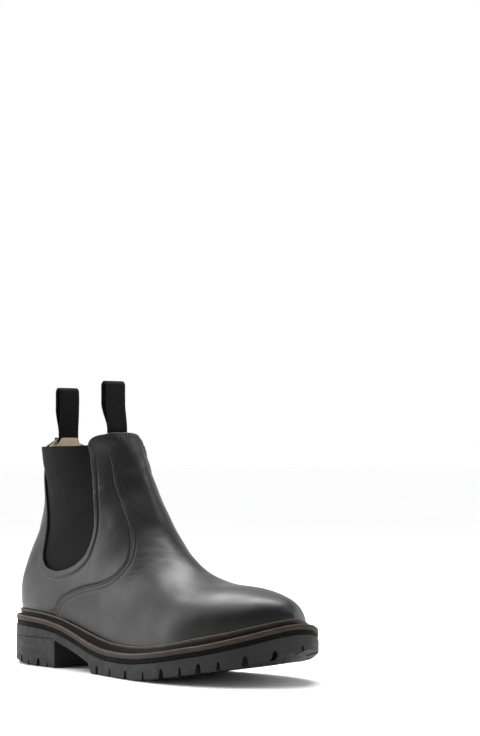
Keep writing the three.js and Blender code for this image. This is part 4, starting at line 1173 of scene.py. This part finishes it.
def rounded_wall(top, bottom, radius, inset_by=0.0):
    """Loops down a wall between two height functions, with rounded rims."""
    angles = np.radians([90, 67, 45, 22, 0])
    loops = [(inset_by + radius * (1 - math.cos(a)),
              lambda x, y, a=a: top(x, y) - radius * (1 - math.sin(a))) for a in angles]
    for share in (0.2, 0.4, 0.6, 0.8):
        loops.append((inset_by, lambda x, y, share=share: mix(top(x, y) - radius, bottom(x, y) + radius, share)))
    loops += [(inset_by + radius * (1 - math.cos(a)),
               lambda x, y, a=a: bottom(x, y) + radius * (1 - math.sin(a))) for a in angles[::-1]]
    return loops


def pulled(*ends):
    """(vertices, faces) of the closed solid between two equal loops of points."""
    count = len(ends[0])
    return [*ends[0], *ends[1]], capped(quads(2, count, wrap=True), 2, count)


def prism(points, low, high):
    """A side-view outline pulled from y low to y high."""
    return pulled(*([(x, y, z) for x, z in points] for y in (low, high)))


def slot_cutter(distance, width, depth):
    """A slot between two lugs at a place on the sole's edge, round at its narrow top."""
    total = along(SOLE_LOOP)[-1]
    at = resample(SOLE_LOOP, [distance % total, (distance + 0.5) % total])
    way = at[1] - at[0]
    way /= np.linalg.norm(way)
    inward = np.array([-way[1], way[0]])
    half = width / 2
    crown = 1.6
    floor = float(tread(*at[0]))
    turn = np.linspace(0, np.pi, 11)
    outline = [(-half, -3), (half, -3), (half, 0)]
    outline += [(0.62 * half * math.cos(a), depth - crown + crown * math.sin(a)) for a in turn]
    outline += [(-half, 0)]
    return pulled(*([(*(at[0] + u * way + reach * inward), floor + v) for u, v in outline]
                    for reach in (-3, LUG_REACH)))


def slot_cutters(distances, depths, signs=(1, -1)):
    """The slots at these distances, on both sides or on the lateral one only. They alternate, wide first."""
    return [slot_cutter(sign * distance, NARROW_SLOT if i % 2 else WIDE_SLOT, depths[i % 2])
            for i, distance in enumerate(distances) for sign in signs]


def cross_groove(x, reach):
    """A shallow groove across the middle of the tread."""
    ys = SOLE_OUTLINE[np.abs(SOLE_OUTLINE[:, 0] - x) < 3, 1]
    middle = (ys.min() + ys.max()) / 2
    half, low = CROSS_GROOVE / 2, float(tread(x, middle)) - 0.3 * LUG_DEPTH
    high = low + LUG_DEPTH
    points = [(x - half, low), (x + half, low), (x + 0.7 * half, high), (x - 0.7 * half, high)]
    return prism(points, middle - reach, middle + reach)


def carve(target, cutters):
    """Cuts closed shapes out of an object, then marks its new edges sharp."""
    vertices, faces = [], []
    for points, polygons in cutters:
        faces += [[v + len(vertices) for v in polygon] for polygon in polygons]
        vertices += points
    cutter = mesh_object("cutter", vertices, faces, target.data.materials[0], body=None, merge=False)
    modifier = target.modifiers.new("carve", "BOOLEAN")
    modifier.object = cutter
    modifier.solver = "EXACT"
    graph = bpy.context.evaluated_depsgraph_get()
    carved = bpy.data.meshes.new_from_object(target.evaluated_get(graph))
    target.modifiers.clear()
    target.data = carved
    bpy.data.objects.remove(cutter)
    carved.shade_smooth()
    carved.set_sharp_from_angle(angle=math.radians(38))


def under_welt(drop):
    """A height function at a depth under the welt's top."""
    return lambda x, y: welt_top(x) - drop


def make_sole():
    """(midsole, outsole, heel block)"""
    outsole_top = lambda x, y: welt_top(x) - WELT_THICKNESS - MIDSOLE_THICKNESS - 2 * GAP
    midsole_top = lambda x, y: welt_top(x) - WELT_THICKNESS - 0.1
    midsole_bottom = lambda x, y: outsole_top(x, y) + 0.1
    band = rounded_wall(midsole_top, midsole_bottom, 0.5, MIDSOLE_RECESS)
    midsole = slab("midsole_band", SOLE_OUTLINE, band, MIDSOLE_LOOK)

    outsole = slab("outsole_tread", SOLE_OUTLINE, rounded_wall(outsole_top, tread, 0.9), SOLE_LOOK)
    foot, end = ARCH_FRONT
    waist = prism([(-10, -5), (end + 3, -5), (end, 0), (foot, ARCH_RISE[1]), (HEEL_LENGTH, ARCH_RISE[0]),
                   (HEEL_LENGTH, HEEL_SEAT + 0.15), (-10, HEEL_SEAT + 0.15)], -80, 80)
    slots = slot_cutters(FOREPART_SLOTS, FOREPART_SLOT_DEPTHS)
    slots += slot_cutters(TOE_SLOTS, TOE_SLOT_DEPTHS, [1])
    carve(outsole, [waist, *slots, *(cross_groove(*groove) for groove in FOREPART_GROOVES)])

    heel_wall = rounded_wall(lambda x, y: HEEL_SEAT + 0 * x, tread, 0.8)
    heel = slab("heel_block_tread", SOLE_OUTLINE, heel_wall, SOLE_LOOK)
    front = prism([(HEEL_LENGTH, -10), (330, -10), (330, 40), (HEEL_LENGTH, 40)], -80, 80)
    slots = slot_cutters(HEEL_SLOTS, HEEL_SLOT_DEPTHS)
    carve(heel, [front, *slots, *(cross_groove(*groove) for groove in HEEL_GROOVES)])
    return midsole, outsole, heel


def make_welt():
    """The storm welt: a band round the upper, a groove with its stitches, and a lip against the leather."""
    lip_foot = upper_insets(0) - LIP_GAP - LIP_THICKNESS
    lip_head = upper_insets(1) - LIP_GAP - LIP_THICKNESS
    lip = height(LIP_HEIGHT, SOLE_OUTLINE[:, 0])
    low = -WELT_THICKNESS
    groove = mix(1.2, lip_foot, 0.66)
    # (inset, rise over the welt's top, place in the welt's painted light and shade from 0 at the wall to 1 at
    # the back)
    section = [
        (13.5, low, 1.0), (1.2, low, 0.0), (0.6, low + 0.1, 0.0), (0.25, low + 0.45, 0.02),
        (0.15, low + 1, 0.05), (0.1, -2, 0.1), (0.15, -1, 0.15), (0.3, -0.45, 0.2), (0.65, -0.12, 0.25),
        (1.2, 0.0, 0.3), (mix(1.2, groove, 0.45), 0.05, 0.36), (groove - 1.15, 0.0, 0.42),
        (groove - 0.8, -0.2, 0.46), (groove - 0.45, -0.65, 0.5), (groove, -0.8, 0.55),
        (groove + 0.45, -0.65, 0.6), (groove + 0.8, -0.2, 0.64), (groove + 1.15, 0.0, 0.68),
        (lip_foot - 0.35, 0.05, 0.7), (lip_foot + 0.1, 0.5, 0.71),
        (mix(lip_foot, lip_head, 0.5) + 0.1, 0.5 * lip, 0.8), (lip_head + 0.05, lip - 0.75, 0.9),
        (lip_head + 0.2, lip - 0.25, 0.93), (lip_head + 0.55, lip, 0.96), (lip_head + 0.9, lip, 0.97),
        (lip_head + 1.2, lip - 0.3, 1.0), (lip_head + 1.3, lip - 0.8, 1.0), (lip_foot + 1.3, 0.1, 1.0),
        (13.5, 0.0, 1.0),
    ]
    rings = []
    for distance, rise, _ in section:
        ring = inset(SOLE_OUTLINE, distance)
        rings.append(np.column_stack([ring, welt_top(ring[:, 0]) + rise]))
    rings = np.stack(rings, axis=1)
    shade = np.array([at for _, _, at in section])
    uv = np.stack(np.broadcast_arrays(shade[None], along(SOLE_LOOP)[:-1, None]), axis=-1).reshape(-1, 2)
    welt = tube("storm_welt", rings, WELT_LOOK, closed=True, uv=uv)
    line = inset(SOLE_OUTLINE, groove)
    line = np.column_stack([line, welt_top(line[:, 0]) - 0.45])
    line = np.vstack([line, line[:1]])
    up = np.broadcast_to(UP, line.shape)
    return welt, stitches("welt_stitching", line, up, WELT_THREAD, 4.8, 4.1, 0.55)


def make_footbed():
    outline = inset(even_outline(upper_outline(0), 360), LINING_DEPTH + LINING + 2)
    bed = slab("footbed_cover", outline, rounded_wall(under_welt(-7), under_welt(-3.2), 0.7), LINING_LOOK)
    line = inset(outline, 4)
    line = line[line[:, 0] < 150]
    line = np.column_stack([line, welt_top(line[:, 0]) + 7])
    stitches("footbed_stitching", line, np.broadcast_to(UP, line.shape), BEIGE_THREAD, 3.4, 2.4, 0.3)
    return bed


# ---- The assembly ----


def dress(piece, slot, *nodes):
    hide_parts(*nodes)


def dress_lined(leather, lining, node):
    dress(leather, "black_leather", node)
    dress(lining, "beige_lining", f"{node}_lining")


dress_lined(*make_vamp(), "vamp")
for side_name, side_sign in (("lateral", -1), ("medial", 1)):
    dress_lined(*make_quarter(side_name, side_sign), f"{side_name}_quarter")
    dress(make_gore(side_name, side_sign), "black_elastic", f"{side_name}_gore")
dress(make_back_strip(), "black_leather", "back_strip")
dress(make_heel_grip(), "beige_lining", "heel_grip_lining")
dress(make_footbed(), "beige_lining", "footbed")
make_tab("front", 1, FRONT_PEAK, FRONT_LEAN)
make_tab("back", 0, BACK_PEAK, BACK_LEAN)
make_facing("front", 1, FRONT_PEAK)
make_facing("back", 0, BACK_PEAK)
welt, welt_thread = make_welt()
dress(welt, "welt_rubber", "welt")
dress(welt_thread, "welt_thread", "welt_thread")
for piece, node_name in zip(make_sole(), ("midsole", "outsole", "heel_block")):
    dress(piece, "sole_rubber", node_name)
for node_name, look in INNER_LOOKS.items():
    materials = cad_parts[node_name].data.materials
    materials.clear()
    materials.append(look)

# ---- Floor, light and camera ----

scene = bpy.context.scene
scene.view_settings.view_transform = "Standard"

paper = Nodes("paper", roughness=0.8, specular=0.1)
paper.colour(paper.ramp(paper.noise(3), (0.0, (0.9, 0.9, 0.9)), (1.0, (0.93, 0.93, 0.93))))
floor_mesh = bpy.data.meshes.new("floor")
floor_mesh.from_pydata([(-30, -30, 0), (30, -30, 0), (30, 30, 0), (-30, 30, 0)], [], [(0, 1, 2, 3)])
floor_mesh.materials.append(paper.material)
floor = placed("floor", floor_mesh)

world = bpy.data.worlds.new("studio")
world.use_nodes = True
sky = world.node_tree
upward = sky.nodes.new("ShaderNodeSeparateXYZ")
sky.links.new(sky.nodes.new("ShaderNodeTexCoord").outputs["Generated"], upward.inputs[0])
shade = sky.nodes.new("ShaderNodeValToRGB")
for stop, place, tint in zip(shade.color_ramp.elements, (0.22, 0.5), ((1, 1, 1, 1), (0.32, 0.32, 0.33, 1))):
    stop.position = place
    stop.color = tint
sky.links.new(upward.outputs["Z"], shade.inputs["Fac"])
sky.links.new(shade.outputs["Color"], sky.nodes["Background"].inputs["Color"])
scene.world = world

# The camera is turned 50 degrees from the lateral side's own view, towards the toe.
VIEW_TURN = math.radians(50)
VIEW_RISE = math.radians(2.23)
CAMERA_HEIGHT = 157.8
CAMERA_DISTANCE = 1740.3
CAMERA_SIDESTEP = 64.8
right = np.array([math.cos(VIEW_TURN), math.sin(VIEW_TURN), 0])
forward = np.array([-math.sin(VIEW_TURN), math.cos(VIEW_TURN), 0])
middle = np.array([150, 0, 0])
stand = middle + CAMERA_HEIGHT * UP - CAMERA_DISTANCE * forward + CAMERA_SIDESTEP * right
camera_data = bpy.data.cameras.new("camera")
camera_data.lens = 114.25
camera = placed("camera", camera_data)
camera.location = to_frame(stand)
camera.rotation_euler = (math.pi / 2 + VIEW_RISE, 0, VIEW_TURN)
scene.camera = camera


def area_light(name, place, target, size, power_watts):
    """A soft square light. Places are in boot millimetres along the view: right, towards it, up."""
    light = bpy.data.lights.new(name, "AREA")
    light.shape = "RECTANGLE"
    light.size, light.size_y = size
    light.energy = power_watts
    obj = placed(name, light)
    spot, aim = (to_frame(middle + p[0] * right + p[1] * forward + p[2] * UP) for p in (place, target))
    obj.location = spot
    obj.rotation_euler = Vector(aim - spot).to_track_quat("-Z", "Y").to_euler()


area_light("overhead", (-60, 620, 1450), (20, 0, 60), (1.3, 0.8), 27)
area_light("left", (-1200, 100, 500), (-60, 0, 90), (0.6, 1.1), 9)
area_light("right", (1300, 300, 700), (60, 0, 80), (0.6, 1.0), 6)

sun = bpy.data.lights.new("daylight", "SUN")
sun.energy = 2.2
sun.angle = math.radians(70)
daylight = placed("daylight", sun)
daylight.rotation_euler = (math.radians(-14), math.radians(-12), VIEW_TURN)
